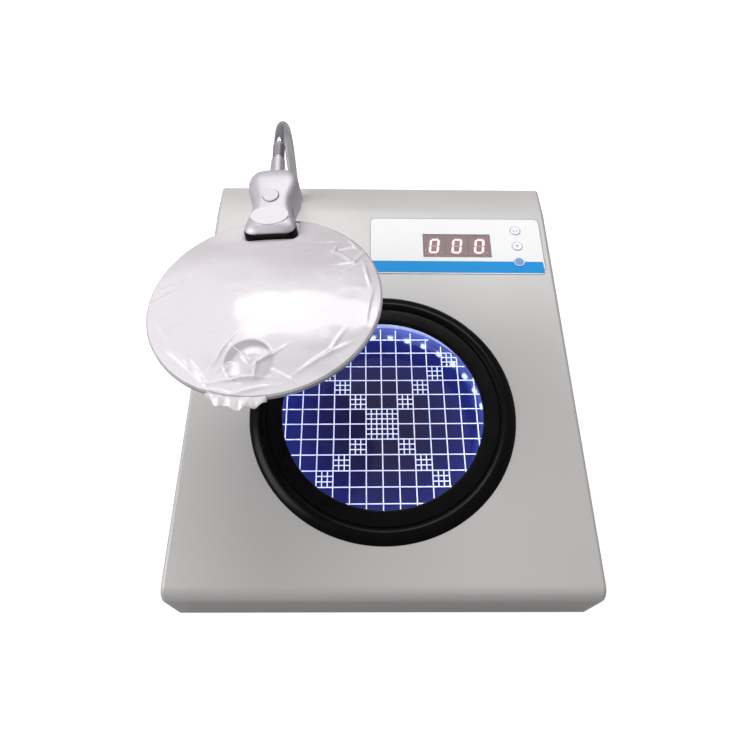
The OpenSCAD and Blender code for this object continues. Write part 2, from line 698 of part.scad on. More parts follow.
// ---- Power board ----

module power_board() color("seagreen") difference() {
    at_power_board() translate([-power_w / 2, -power_d / 2, spacer_h]) cube([power_w, power_d, board_t]);
    on_spacers() cylinder(r = screw_r + hole_gap, h = 30);
}

// Spacers, each with the screw that runs up through it
module board_spacers() color("silver") on_spacers() {
    nut(nut_af, spacer_h, screw_r + 0.6);
    translate([0, 0, -sheet_t]) screw(screw_r, sheet_t + spacer_h + board_t + nut_h);
    translate([0, 0, spacer_h + board_t]) difference() {
        cylinder(d = nut_af / cos(30), h = nut_h, $fn = 6);
        translate([0, 0, -1]) cylinder(r = screw_r + seat_gap, h = nut_h + 2);
    }
}

module power_module() color("#33383d") at_power_board()
    translate([module_inset - power_w / 2, -module_d / 2 - 1, spacer_h + board_t]) {
        cube([module_w, module_d, module_h]);
        translate([module_w + can_gap, big_can_r + 2, 0]) cylinder(r = big_can_r, h = big_can_h);
        translate([module_w + can_gap, big_can_r * 2 + small_can_r + 5, 0])
            cylinder(r = small_can_r, h = small_can_h);
    }

// Flat cable that runs down from the control board to the power board
module ribbon_cable() color("gray") in_body() {
    y0 = power_y - power_d / 2 + cable_inset;
    y1 = y0 + cable_lean;
    z0 = sheet_t + spacer_h + board_t;
    z1 = front_h + (y1 - 1.5) * tan(deck_tilt) - (board_top + board_t) / cos(deck_tilt) - 0.25;
    translate([panel_left, 0, 0]) rotate([90, 0, 90]) linear_extrude(cable_w) polygon(concat(
        [for (i = [0:16]) let (t = i / 16) [y0 + (y1 - y0) * smooth(t), z0 + (z1 - z0) * t]],
        [for (i = [16:-1:0]) let (t = i / 16) [y0 - 1 + (y1 - y0) * smooth(t), z0 + (z1 - z0) * t]]));
}

// ---- Gooseneck ----

bush_r = 4.4;
bush_h = 6;
bush_shank_r = neck_r + 1;
shank_l = 12;

module gooseneck_bush() color("silver") at_neck() rotate_extrude() polygon(concat(
    [[neck_r + seat_gap, -shank_l], [bush_shank_r, -shank_l], [bush_shank_r, 0], [bush_r + 0.4, 0],
    [bush_r + 0.4, 1.5], [bush_r, 1.5]], arc(bush_r - 1.2, bush_h - 1.2, 1.2, 0, 90, 4),
    [[neck_r + seat_gap, bush_h]]));

module gooseneck_washer() color("silver") at_neck() translate([0, 0, -under_sheet - 1]) difference() {
    cylinder(r = bush_shank_r + 3.5, h = 1);
    translate([0, 0, -1]) cylinder(r = bush_shank_r + hole_gap, h = 3);
}

module gooseneck_nut() color("silver") at_neck() translate([0, 0, -under_sheet - 4.2])
    nut(13, 3.2, bush_shank_r + seat_gap);

module gooseneck_stem() color("silver") at_neck() {
    translate([0, 0, -8]) cylinder(r = neck_r, h = stem_h + 8);
    translate([0, 0, stem_h]) sphere(neck_r);
}

// The arch starts in a cup over the stem's ball and ends in a ball of its own
module gooseneck_arch() color("silver") {
    at_neck() difference() {
        translate([0, -arch_r, stem_h]) rotate([90, 0, 90])
            rotate_extrude(angle = 90 + arch_over - asin(socket_cut / arch_r), $fn = 128)
                translate([arch_r, 0]) circle(neck_r);
        translate([0, 0, stem_h]) sphere(neck_r + ball_gap);
        translate([-5, -5, stem_h - 5 + socket_cut]) cube([10, 10, 5]);
    }
    at_head() sphere(neck_r);
}

module ribbed_collar() color("gray") at_head() difference() {
    rotate([90, 0, 0]) rotate_extrude() polygon(concat([[0, socket_cut], [collar_r, socket_cut]],
        [for (i = [0:rib_count - 1]) each let (y = socket_cut + 1 + i * rib_pitch)
            [[collar_r, y], [collar_r - 0.3, y + rib_pitch * 0.3],
            [collar_r - 0.3, y + rib_pitch * 0.6], [collar_r, y + rib_pitch * 0.9]]],
        [[collar_r, collar_end], [0, collar_end]]));
    sphere(neck_r + ball_gap);
}

collar_r = neck_r + 0.3;
collar_end = socket_cut + collar_l;
rib_count = 8;
rib_pitch = (collar_l - 2) / rib_count;
socket_end = collar_end + socket_l;

// The tapered socket plugs into the hub with a round tenon
module neck_socket() color("lightgray") at_head() rotate([90, 0, 0]) rotate_extrude() polygon(
    [[0, collar_end + seat_gap], [socket_r - 0.3, collar_end + seat_gap], [socket_r, collar_end + 0.4],
    [hub_end_r - 0.1, socket_end - 0.8], [tenon_r, socket_end - 0.8],
    [tenon_r, socket_end + tenon_l], [0, socket_end + tenon_l]]);

tenon_r = 2.6;
tenon_l = 3.5;

// ---- Magnifier ----

// Half width of the hub at y from the lens centre: full at the lens, waisted, full again, then
// drawn in to the neck
function hub_half(y) = let (
        nose = hub_front_w / 2 * (0.74 + 0.26 * sqrt(1 - pow(1 - min((y - hub_y0) / 4, 1), 2))),
        front = hub_waist_w / 2
            + (nose - hub_waist_w / 2) * smooth((hub_waist_y - y) / (hub_waist_y - hub_y0 - 3)),
        rear = hub_waist_w / 2
            + (hub_rear_w - hub_waist_w) / 2 * smooth((y - hub_waist_y) / (hub_shoulder_y - hub_waist_y)),
        u = min(max((y - hub_shoulder_y) / (hub_y1 - hub_shoulder_y), 0), 1))
    y < hub_waist_y ? front : hub_end_r + (rear - hub_end_r) * sqrt(1 - u * u);

// Height of the hub's top and underside
function hub_top(y) = let (
        slope = clamp_top + 2.4 + (y - hub_y0) * tan(hub_angle - 1),
        nose = 1.6 * pow(1 - min((y - hub_y0) / 4, 1), 2),
        u = min(max((y - hub_shoulder_y) / (hub_y1 - hub_shoulder_y), 0), 1))
    (hub_end_z + hub_end_r) + (slope - nose - hub_end_z - hub_end_r) * sqrt(1 - u * u);
function hub_under(y) = let (
        slope = clamp_bottom - 4 + (y - hub_y0) * 0.1,
        u = min(max((y - hub_shoulder_y) / (hub_y1 - hub_shoulder_y), 0), 1))
    (hub_end_z - hub_end_r) + (slope - hub_end_z + hub_end_r) * sqrt(1 - u * u);

function signed_pow(v, e) = sign(v) * pow(abs(v), e);

// Loft through superellipse rings from y0 to y1, drawn in by i
module hub_loft(i, y0, y1, stations = 16, sides = 28) {
    square_ness = 0.47;
    points = [for (k = [0:stations]) let (
            y = y0 + (y1 - y0) * (1 - cos(180 * k / stations)) / 2,
            w = hub_half(y) - i, top = hub_top(y) - i, low = hub_under(y) + i)
        for (j = [0:sides - 1]) let (a = 360 * j / sides)
            [w * signed_pow(cos(a), square_ness), y,
            (top + low) / 2 + (top - low) / 2 * signed_pow(sin(a), square_ness)]];
    faces = concat(
        [[for (j = [sides - 1:-1:0]) j]],
        [[for (j = [0:sides - 1]) stations * sides + j]],
        [for (k = [0:stations - 1], j = [0:sides - 1]) let (
                a = k * sides + j, b = k * sides + (j + 1) % sides)
            [a, b, b + sides, a + sides]]);
    polyhedron(points, faces);
}

module hub_cavity() {
    hub_loft(hub_wall, clamp_back + 1.5, hub_y1 - 4, 12);
}

// A block that reaches past the hub on every side, from z0 to z1 and y0 to y1
module slab(y0, y1, z0, z1) translate([-30, y0, z0]) cube([60, y1 - y0, z1 - z0]);

module tenon_hole() at_head() rotate([90, 0, 0]) translate([0, 0, socket_end - 6])
    cylinder(r = tenon_r + seat_gap, h = tenon_l + 8);

module on_hub_screws() translate([0, hub_waist_y + 3.7, 0]) on_xs([-hub_screw_x, hub_screw_x]) children();

module hub_top_shell() color("silver") difference() {
    at_lens() union() {
        difference() {
            hub_loft(0, hub_y0, hub_y1);
            hub_cavity();
            slab(0, clamp_back, -30, clamp_top + shell_gap);
            slab(clamp_back - 1, 100, -30, split_z + shell_gap);
        }
        intersection() {
            on_hub_screws() translate([0, 0, split_z + shell_gap]) cylinder(r = 2.3, h = 20);
            hub_loft(hub_wall / 2, clamp_back, hub_y1 - 4, 12);
        }
    }
    on_hub_top(button_y) translate([0, 0, -3.8]) cylinder(r = button_r + 0.15, h = 20);
    on_hub_top(inlay_y) translate([0, 0, -0.9]) inlay(0.1, 4);
    at_lens() on_hub_screws() cylinder(r = 1 + seat_gap, h = 11);
    tenon_hole();
}

module hub_bottom_shell() color("silver") difference() {
    at_lens() union() {
        difference() {
            hub_loft(0, hub_y0, hub_y1);
            hub_cavity();
            slab(0, clamp_back, clamp_bottom - shell_gap, 60);
            slab(clamp_back - 1, 100, split_z, 60);
        }
        intersection() {
            on_hub_screws() translate([0, 0, -12]) cylinder(r = 2.3, h = 12 + split_z);
            hub_loft(hub_wall / 2, clamp_back, hub_y1 - 4, 12);
        }
    }
    at_lens() on_hub_screws() translate([0, 0, -14]) { cylinder(r = 1.2, h = 30); cylinder(r = 2, h = 8.5); }
    at_lens() on_lamps() translate([0, 0, -12]) cylinder(r = lamp_bore_r + 0.1, h = 12);
    at_lens() translate([0, door_y, -20]) rounded_plate(door_w + 0.3, door_l + 0.3, 1.5, 20);
    tenon_hole();
}

module hub_screws() color("silver") at_lens() on_hub_screws() translate([0, 0, -5.5]) screw(1, 15);

lamp_bore_r = 1.5;
module on_lamps() translate([0, hub_y0 + 9, 0]) on_xs([-7, 7]) children();

module magnifier_lamps() color("white") at_lens() on_lamps() {
    translate([0, 0, clamp_bottom - 5]) cylinder(r = lamp_bore_r, h = 5 - shell_gap);
    translate([0, 0, clamp_bottom - 5]) sphere(lamp_bore_r);
}

door_y = hub_shoulder_y - 2;
door_w = 14;
door_l = 10.4;
door_t = 1.6;

module battery_door() color("silver") at_lens() intersection() {
    translate([0, door_y, -20]) rounded_plate(door_w, door_l, 1.5, 25);
    difference() {
        hub_loft(0, hub_y0, hub_y1);
        hub_loft(door_t, hub_y0, hub_y1 - 3);
        slab(0, 100, 0, 60);
    }
}

module button_cells() color("silver") at_lens()
    for (k = [0, 1]) translate([0, cell_y, cell_z + k * (cell_t + 0.1)]) cylinder(r = cell_r, h = cell_t);

cell_y = hub_shoulder_y - 3.2;
cell_z = -3.2;

module lamp_board() color("seagreen") at_lens() translate([-4.3, clamp_back + 1.9, board_z])
    cube([8.6, 17, 1]);

board_z = cell_z + 2 * cell_t + 0.5;

module lamp_switch() color("dimgray") at_lens() translate([0, clamp_back + 4.3, board_z + 1]) {
    translate([-2.2, -2.2, 0]) cube([4.4, 4.4, 2.4]);
    cylinder(r = 1.3, h = 3);
}

// Button in the hub's sloping top; its stem stops just short of the switch
module lamp_button() color("gainsboro") on_hub_top(button_y) {
    translate([0, 0, -2.4]) rotate_extrude() polygon(concat([[0, 0], [button_r, 0]],
        arc(button_r - 0.5, 2.5, 0.5, 0, 90, 4), [[0, 3]]));
    translate([0, 0, -button_stem]) cylinder(r = 1.3, h = button_stem - 2);
}

button_stem = hub_top(button_y) - board_z - 4 - button_travel - 0.2;

// Oval plate: g is the clearance round it
module inlay(g, h) linear_extrude(h)
    polygon([for (a = [0:10:350]) [(inlay_w + g) * cos(a), (inlay_d + g) * sin(a)]]);

module oval_inlay() color("white") on_hub_top(inlay_y) translate([0, 0, -0.85]) inlay(0, 1);

// Black jaw between the hub's shells that holds the lens by its rim
module lens_clamp() color("#141416") at_lens() difference() {
    intersection() {
        union() {
            hub_loft(0, hub_y0, hub_y1);
            translate([0, -1.2, 0]) hub_loft(0.3, hub_y0, hub_y1);
        }
        slab(0, clamp_back - 0.05, clamp_bottom, clamp_top);
    }
    lens_form(seat_gap);
}

// Biconvex lens with a small strong lens on its upper face, grown by g
module lens_form(g) {
    half = asin(lens_r / lens_curve);
    centre = lens_curve * cos(half) - lens_edge / 2;
    face = [for (k = [0:14]) let (a = half * k / 14)
        [(lens_curve + g) * sin(a), (lens_curve + g) * cos(a) - centre]];
    rotate_extrude($fn = 128) polygon(concat(face, [[lens_r + g, face[14][1]], [lens_r + g, -face[14][1]]],
        [for (k = [14:-1:0]) [face[k][0], -face[k][1]]]));
    translate([spot_x, -spot_dist, spot_z]) rotate([spot_tip, 0, 0]) rotate_extrude($fn = 64)
        polygon(concat([[0, -1]], [for (k = [10:-1:0]) let (a = spot_half * k / 10)
            [(spot_curve + g) * sin(a), (spot_curve + g) * cos(a) - spot_curve + spot_h]]));
}

spot_z = sqrt(lens_curve * lens_curve - spot_dist * spot_dist) - lens_curve * cos(asin(lens_r / lens_curve))
    + lens_edge / 2 - 0.3;
spot_tip = asin(spot_dist / lens_curve);
spot_half = asin(spot_r / spot_curve) + 2;

module magnifier_lens() color("lightcyan", 0.4) at_lens() lens_form(0);

module lens_film() color("white", 0.3) at_lens() difference() {
    intersection() {
        lens_form(film_gap + film_t);
        translate([0, 0, lens_edge / 2 + film_gap]) cylinder(r = lens_r - 0.5, h = 20, $fn = 128);
    }
    lens_form(film_gap);
    translate([-hub_front_w / 2 - 1.5, hub_y0 - 2.2, -20]) cube([hub_front_w + 3, 40, 50]);
}

housing_cover();
base_plate();
base_screws();
rubber_feet();
foot_screws();
foot_nuts();
bezel_ring();
bezel_gasket();
light_chamber();
chamber_nuts();
light_strip();
strip_lamps();
grid_plate();
field_sheet();
display_overlay();
display_window();
digit_modules();
outer_segments();
centre_segments();
control_board();
board_screws();
key_switches();
controller_chip();
upper_key();
middle_key();
lower_key();
rear_panel();
rear_screws();
power_inlet();
inlet_pins();
inlet_screws();
switch_frame();
power_rocker();
pen_jack();
jack_nut();
power_board();
board_spacers();
power_module();
ribbon_cable();
gooseneck_bush();
gooseneck_washer();
gooseneck_nut();
gooseneck_stem();
gooseneck_arch();
ribbed_collar();
neck_socket();
hub_top_shell();
hub_bottom_shell();
hub_screws();
oval_inlay();
lens_clamp();
magnifier_lens();
lens_film();
lamp_board();
lamp_switch();
magnifier_lamps();
button_cells();
battery_door();
lamp_button();
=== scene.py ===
"""Dresses the colony counter: finishes for its solids, the engraved grid, the printed panel, the
gooseneck, the magnifier's film and the screws, and a plain studio round it."""

import json
import math
import sys
from contextlib import contextmanager

import bmesh
import bpy
from bpy.props import FloatProperty, FloatVectorProperty, IntProperty, PointerProperty
from mathutils import Euler, Matrix, Vector, noise
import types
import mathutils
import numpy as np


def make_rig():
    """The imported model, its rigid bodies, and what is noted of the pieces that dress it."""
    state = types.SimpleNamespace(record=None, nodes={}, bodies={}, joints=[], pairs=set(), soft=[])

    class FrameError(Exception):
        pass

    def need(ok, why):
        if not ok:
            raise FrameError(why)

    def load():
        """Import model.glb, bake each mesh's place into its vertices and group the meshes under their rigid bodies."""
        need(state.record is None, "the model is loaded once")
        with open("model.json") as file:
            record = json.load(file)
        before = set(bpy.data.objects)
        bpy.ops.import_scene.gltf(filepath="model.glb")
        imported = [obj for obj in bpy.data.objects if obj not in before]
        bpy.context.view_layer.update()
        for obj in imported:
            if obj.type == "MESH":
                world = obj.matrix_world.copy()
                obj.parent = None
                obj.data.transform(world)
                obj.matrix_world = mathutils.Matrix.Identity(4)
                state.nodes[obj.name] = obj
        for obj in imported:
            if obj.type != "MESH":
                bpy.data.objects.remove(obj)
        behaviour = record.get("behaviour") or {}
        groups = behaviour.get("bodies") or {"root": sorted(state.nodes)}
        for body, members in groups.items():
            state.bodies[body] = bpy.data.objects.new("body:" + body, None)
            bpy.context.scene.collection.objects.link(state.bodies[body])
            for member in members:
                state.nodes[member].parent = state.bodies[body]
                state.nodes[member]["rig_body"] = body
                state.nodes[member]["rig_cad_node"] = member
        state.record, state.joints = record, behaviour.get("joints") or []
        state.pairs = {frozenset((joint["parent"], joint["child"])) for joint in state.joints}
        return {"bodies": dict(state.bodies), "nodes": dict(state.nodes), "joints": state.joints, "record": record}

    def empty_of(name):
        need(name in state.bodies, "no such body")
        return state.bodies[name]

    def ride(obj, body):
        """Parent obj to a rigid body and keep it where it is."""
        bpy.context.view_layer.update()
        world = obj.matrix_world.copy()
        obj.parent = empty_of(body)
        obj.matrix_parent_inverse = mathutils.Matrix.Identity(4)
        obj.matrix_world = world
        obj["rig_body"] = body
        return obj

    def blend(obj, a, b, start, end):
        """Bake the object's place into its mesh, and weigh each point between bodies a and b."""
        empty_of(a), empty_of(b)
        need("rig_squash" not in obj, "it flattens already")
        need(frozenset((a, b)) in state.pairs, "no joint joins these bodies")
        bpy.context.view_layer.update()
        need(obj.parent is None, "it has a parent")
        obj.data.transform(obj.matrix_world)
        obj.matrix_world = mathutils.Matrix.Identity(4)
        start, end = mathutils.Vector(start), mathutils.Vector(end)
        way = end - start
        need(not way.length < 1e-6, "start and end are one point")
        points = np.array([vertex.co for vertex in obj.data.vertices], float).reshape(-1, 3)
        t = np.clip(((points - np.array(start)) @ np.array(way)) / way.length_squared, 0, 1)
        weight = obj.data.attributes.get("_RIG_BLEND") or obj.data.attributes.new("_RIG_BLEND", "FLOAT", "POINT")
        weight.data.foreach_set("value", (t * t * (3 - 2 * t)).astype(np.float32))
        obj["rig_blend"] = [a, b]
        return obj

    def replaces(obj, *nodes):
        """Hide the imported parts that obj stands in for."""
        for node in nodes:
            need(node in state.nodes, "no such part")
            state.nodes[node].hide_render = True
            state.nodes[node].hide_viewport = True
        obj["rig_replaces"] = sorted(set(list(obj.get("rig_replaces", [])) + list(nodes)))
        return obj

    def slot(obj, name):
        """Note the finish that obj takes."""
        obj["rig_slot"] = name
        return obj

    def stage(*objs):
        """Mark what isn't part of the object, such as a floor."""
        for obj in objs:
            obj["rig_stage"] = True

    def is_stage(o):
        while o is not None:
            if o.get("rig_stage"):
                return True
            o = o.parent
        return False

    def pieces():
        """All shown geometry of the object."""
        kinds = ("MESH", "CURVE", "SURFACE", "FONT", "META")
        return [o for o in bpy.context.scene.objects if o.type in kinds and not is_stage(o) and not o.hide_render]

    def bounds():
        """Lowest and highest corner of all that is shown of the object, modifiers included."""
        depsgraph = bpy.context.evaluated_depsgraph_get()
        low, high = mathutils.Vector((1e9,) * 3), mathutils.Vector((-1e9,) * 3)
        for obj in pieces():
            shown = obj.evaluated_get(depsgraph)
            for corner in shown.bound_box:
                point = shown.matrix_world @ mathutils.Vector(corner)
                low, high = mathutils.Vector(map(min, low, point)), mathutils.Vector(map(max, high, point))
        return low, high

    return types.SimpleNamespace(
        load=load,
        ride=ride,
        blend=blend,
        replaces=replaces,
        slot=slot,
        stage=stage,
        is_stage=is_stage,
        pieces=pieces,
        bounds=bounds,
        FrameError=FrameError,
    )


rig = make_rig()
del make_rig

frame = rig.load()
CAD_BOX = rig.bounds()

bl_info = {
    "name": "Colony counter dressing",
    "version": (1, 0, 0),
    "blender": (4, 5, 0),
    "location": "3D View > Sidebar > Colony counter",
    "description": "Makes the finishes and fine pieces of a bench colony counter",
    "category": "Object",
}

MM = 0.001

# ---------------------------------------------------------------- places, in millimetres


def shift(x, y, z):
    """A move, in millimetres."""
    return Matrix.Translation((x, y, z))


def turn(degrees, axis):
    """A turn about an axis through the origin."""
    return Matrix.Rotation(math.radians(degrees), 4, axis)


def into(place):
    """From the scene's metres to millimetres in a place's own frame."""
    return place.inverted() @ Matrix.Scale(1 / MM, 4)


# The driving sizes are those of the solids
HOUSING_W, FRONT_H, FOOT_H, DECK_TILT, STRIP_D = 230, 35, 6, 7, 27
FRONT_MARGIN, BEZEL_R, WELL_GAP = 26, 78, 19.385
PANEL_W, PANEL_D, PANEL_T, PANEL_MARGIN, PANEL_GAP = 118, 47, 0.5, 5, 4.5
REAR_PROUD = 5
WELL_UP = FRONT_MARGIN + BEZEL_R
PANEL_UP = WELL_UP + BEZEL_R + WELL_GAP
RIDGE_UP = PANEL_UP + PANEL_D + PANEL_GAP
RIDGE_Y = RIDGE_UP * math.cos(math.radians(DECK_TILT))
STRIP_H = FRONT_H + RIDGE_UP * math.sin(math.radians(DECK_TILT))
HOUSING_D = RIDGE_Y + STRIP_D
BODY = shift(0, -(HOUSING_D + REAR_PROUD) / 2, FOOT_H)


def deck(x, s):
    """The place x across and s up the deck, with z out of it."""
    return BODY @ shift(0, 0, FRONT_H) @ turn(DECK_TILT, "X") @ shift(x, s, 0)


RIDGE = BODY @ shift(0, RIDGE_Y, STRIP_H)

# The well, measured from the deck
WELL = deck(0, WELL_UP)
BEZEL_STEP_R, BEZEL_OPEN_R = 68.3, 59.2
BEZEL_BAND_H, BEZEL_CROWN, SKIRT_H = 1.3, 1.7, 7
PLATE_TOP, PLATE_T, PLATE_R, PLATE_EASE = -23.5, 3, 69.6, 0.4

# The panel, its keys and its display
PANEL_RIGHT = HOUSING_W / 2 - PANEL_MARGIN
PANEL = deck(PANEL_RIGHT - PANEL_W / 2, PANEL_UP + PANEL_D / 2)
KEY_X, KEY_Y, KEY_PITCH, KEY_PROUD = 17.5, 9.8, 13.2, 0.4
KEYS = [deck(PANEL_RIGHT - KEY_X, PANEL_UP + KEY_Y + i * KEY_PITCH) for i in range(3)]
KEY_TOP = PANEL_T + KEY_PROUD
DISPLAY_X, DISPLAY_Y, DIGIT_PITCH, DIGIT_SLANT = 59.4, 23.2, 15.4, 8
DISPLAY = deck(PANEL_RIGHT - PANEL_W + DISPLAY_X, PANEL_UP + DISPLAY_Y)
PRINT_T = 0.02

# The rear panel, with z out of it
REAR_W, REAR_HGT, REAR_T, REAR_MARGIN, REAR_Z, REAR_INSET = 160, 42, 1.5, 15, 30, 4
REAR = (BODY @ shift(HOUSING_W / 2 - REAR_MARGIN - REAR_W / 2, HOUSING_D + REAR_T, REAR_Z)
        @ turn(-90, "X"))
INLET_SIDE, INLET_PITCH, INLET_LIP, ROCKER_STEP = 10, 40, 1.8, 42
INLET_X = REAR_W / 2 - INLET_SIDE - INLET_PITCH / 2

# The gooseneck and the head that it carries
NECK_SIDE, NECK_BACK, NECK_YAW, NECK_R = 54.2, 13, 1.4, 3
NECK = (BODY @ shift(NECK_SIDE - HOUSING_W / 2, HOUSING_D - NECK_BACK, STRIP_H)
        @ turn(NECK_YAW, "Z"))
STEM_H, ARCH_R, ARCH_OVER = 37.5, 36, 8
ARCH_END = (0, -ARCH_R * (1 + math.sin(math.radians(ARCH_OVER))),
            STEM_H + ARCH_R * math.cos(math.radians(ARCH_OVER)))
HEAD_ROLL, HUB_REACH, HUB_ANGLE, LENS_REACH = 3.6, 61, 10, 49
HEAD = NECK @ shift(*ARCH_END) @ turn(ARCH_OVER, "X") @ turn(-HEAD_ROLL, "Y")
LENS = HEAD @ shift(0, -HUB_REACH, 0) @ turn(-HUB_ANGLE, "X") @ shift(0, -LENS_REACH, 0)
LENS_R, LENS_EDGE, LENS_CURVE = 55.3, 2, 245
# The small strong lens, and the jaw with its rounded nose, in the lens's own frame
SPOT_X, SPOT_Y, SPOT_R, SPOT_H = -3, -38.5, 11, 2.4
JAW_Y, JAW_W, JAW_NOSE, JAW_TIP, JAW_GAP = 36.0, 27.4, 4, 0.74, 0.1
FILM_T = 0.06

# ---------------------------------------------------------------- small tools


def srgb(code):
    """A linear colour from an sRGB hex value such as "#c8c6c4"."""
    parts = [int(code[i:i + 2], 16) / 255 for i in (1, 3, 5)]
    return [p / 12.92 if p <= 0.04045 else ((p + 0.055) / 1.055) ** 2.4 for p in parts] + [1]


def per(mm):
    """A texture scale whose features are about mm long."""
    return 1000 / mm


def add(tree, kind, inputs=None, **settings):
    """Adds a node. inputs gives a value or another node's output for each socket name or number."""
    node = tree.nodes.new(kind)
    for key, value in settings.items():
        setattr(node, key, value)
    for key, value in (inputs or {}).items():
        if isinstance(value, bpy.types.NodeSocket):
            tree.links.new(value, node.inputs[key])
        else:
            node.inputs[key].default_value = value
    return node


def start(name, glow=None, **shader):
    """A new material with its shader and glow set, as (material, tree, shader node)."""
    made = bpy.data.materials.new(name)
    made.use_nodes = True
    tree = made.node_tree
    surface = tree.nodes["Principled BSDF"]
    for key, value in shader.items():
        surface.inputs[key.replace("_", " ")].default_value = value
    if glow:
        surface.inputs["Emission Color"].default_value = srgb(glow)
    return made, tree, surface


def grain(tree, surface, size, height, detail=2.0, spread=None, tones=None, where=None):
    """Gives a shader a fine bump of that grain size and height in mm, and a drift of tone."""
    place = where or add(tree, "ShaderNodeTexCoord").outputs["Object"]
    fine = add(tree, "ShaderNodeTexNoise", {"Vector": place, "Scale": per(size), "Detail": detail})
    bump = add(tree, "ShaderNodeBump", {"Height": fine.outputs["Fac"], "Strength": 1.0,
                                        "Distance": height * MM})
    tree.links.new(bump.outputs["Normal"], surface.inputs["Normal"])
    if tones:
        broad = add(tree, "ShaderNodeTexNoise", {"Vector": place, "Scale": per(spread),
                                                 "Detail": 3.0})
        # The Mix node keeps a set of sockets for each type, so the colour ones go by number
        mix = add(tree, "ShaderNodeMix", {0: broad.outputs["Fac"], 6: srgb(tones[0]),
                                          7: srgb(tones[1])}, data_type="RGBA")
        tree.links.new(mix.outputs[2], surface.inputs["Base Color"])
    return bump


def rough_drift(tree, surface, size, low, high):
    """Lets a surface's roughness wander between two values over that distance in mm."""
    place = add(tree, "ShaderNodeTexCoord").outputs["Object"]
    broad = add(tree, "ShaderNodeTexNoise", {"Vector": place, "Scale": per(size), "Detail": 4.0})
    fit = add(tree, "ShaderNodeMapRange", {"Value": broad.outputs["Fac"], "From Min": 0.3,
                                           "From Max": 0.7, "To Min": low, "To Max": high})
    tree.links.new(fit.outputs["Result"], surface.inputs["Roughness"])


def plain(name, size, height, spread, tones, **shader):
    """A material with a fine bump of that size and height and a drift of tone over spread."""
    made, tree, surface = start(name, **shader)
    grain(tree, surface, size, height, spread=spread, tones=tones)
    return made


# ---------------------------------------------------------------- finishes
MATERIALS = {}


def finish_of(name):
    """The finish of that name, made when it is first asked for."""
    if name not in MATERIALS:
        MATERIALS[name] = globals()["make_" + name]()
    return MATERIALS[name]


def make_powder_coated_steel():
    # Baked epoxy powder on sheet steel: satin, with a faint orange peel and a soft wide highlight
    made, tree, surface = start("powder_coated_steel", Roughness=0.34, IOR=1.5,
                                Specular_IOR_Level=0.9)
    grain(tree, surface, 1.2, 0.012, spread=90, tones=("#c3c0bf", "#bcb9b8"))
    rough_drift(tree, surface, 60, 0.33, 0.35)
    return made


def make_zinc_plated_steel():
    # Electroplated zinc on cold-rolled sheet: dull silver with a fine rolling grain along Y
    made, tree, surface = start("zinc_plated_steel", Metallic=1.0, Roughness=0.4)
    place = add(tree, "ShaderNodeTexCoord").outputs["Object"]
    drawn = add(tree, "ShaderNodeMapping", {"Vector": place, "Scale": (1, 0.04, 1)})
    grain(tree, surface, 1.0, 0.01, spread=12, tones=("#b9bbbd", "#a8abae"),
          where=drawn.outputs["Vector"])
    rough_drift(tree, surface, 30, 0.32, 0.5)
    return made


def make_bright_zinc_screw():
    # Bright zinc plate on a headed screw: shiny with a slight haze
    return plain("bright_zinc_screw", 0.5, 0.004, 3, ("#c9cacd", "#b4b6ba"),
                 Metallic=1.0, Roughness=0.28)


def make_chrome_plate():
    # Bright chromium on steel: mirror-like, faintly cool, with a slight polishing haze
    made, tree, surface = start("chrome_plate", Metallic=1.0, Roughness=0.12)
    grain(tree, surface, 2.0, 0.01, spread=15, tones=("#d6d6da", "#c4c4ca"))
    rough_drift(tree, surface, 8, 0.08, 0.18)
    return made


def make_ribbed_aluminium():
    # Anodised grey aluminium, knurled by turning: dull between its ribs
    return plain("ribbed_aluminium", 0.4, 0.01, 5, ("#a19ea3", "#918e93"),
                 Metallic=0.8, Roughness=0.45)


def make_satin_aluminium():
    # Bead-blasted, clear-anodised aluminium: pale grey and soft
    return plain("satin_aluminium", 0.3, 0.006, 8, ("#bdb9bf", "#b1adb4"),
                 Metallic=0.35, Roughness=0.38)


def make_silver_painted_abs():
    # Moulded ABS with metallic silver lacquer: tiny flakes under a clear gloss
    made, tree, surface = start("silver_painted_abs", Metallic=0.35, Roughness=0.46,
                                Coat_Weight=0.12, Coat_Roughness=0.2)
    place = add(tree, "ShaderNodeTexCoord").outputs["Object"]
    # Real flakes are 0.03 mm; they are drawn at 0.15 mm so that they just show
    flake = add(tree, "ShaderNodeTexVoronoi", {"Vector": place, "Scale": per(0.15)})
    tone = add(tree, "ShaderNodeValToRGB", {"Fac": flake.outputs["Distance"]})
    tone.color_ramp.elements[0].color = srgb("#cbc6cd")
    tone.color_ramp.elements[1].color = srgb("#bfbac2")
    tree.links.new(tone.outputs["Color"], surface.inputs["Base Color"])
    grain(tree, surface, 1.5, 0.006)
    rough_drift(tree, surface, 12, 0.42, 0.5)
    return made


def make_gloss_black_abs():
    # Polished-mould ABS: deep black with a clear gloss and a faint waviness
    made, tree, surface = start("gloss_black_abs", Roughness=0.24, IOR=1.5, Specular_IOR_Level=0.1)
    grain(tree, surface, 14, 0.02, spread=25, tones=("#060607", "#0a0a0c"))
    rough_drift(tree, surface, 18, 0.2, 0.32)
    return made


def make_matt_black_nylon():
    # Moulded nylon 66: matt black with a fine spark-eroded texture
    return plain("matt_black_nylon", 0.35, 0.02, 10, ("#161617", "#1d1d1f"),
                 Roughness=0.55, IOR=1.53)


def make_nitrile_rubber():
    # Pressed nitrile rubber: matt, dusty black
    return plain("nitrile_rubber", 0.5, 0.03, 6, ("#151515", "#202020"), Roughness=0.8)


def make_closed_cell_foam():
    # Die-cut foam gasket: open pores on a charcoal ground
    return plain("closed_cell_foam", 0.4, 0.08, 4, ("#3a3a3a", "#2c2c2c"), Roughness=0.95)


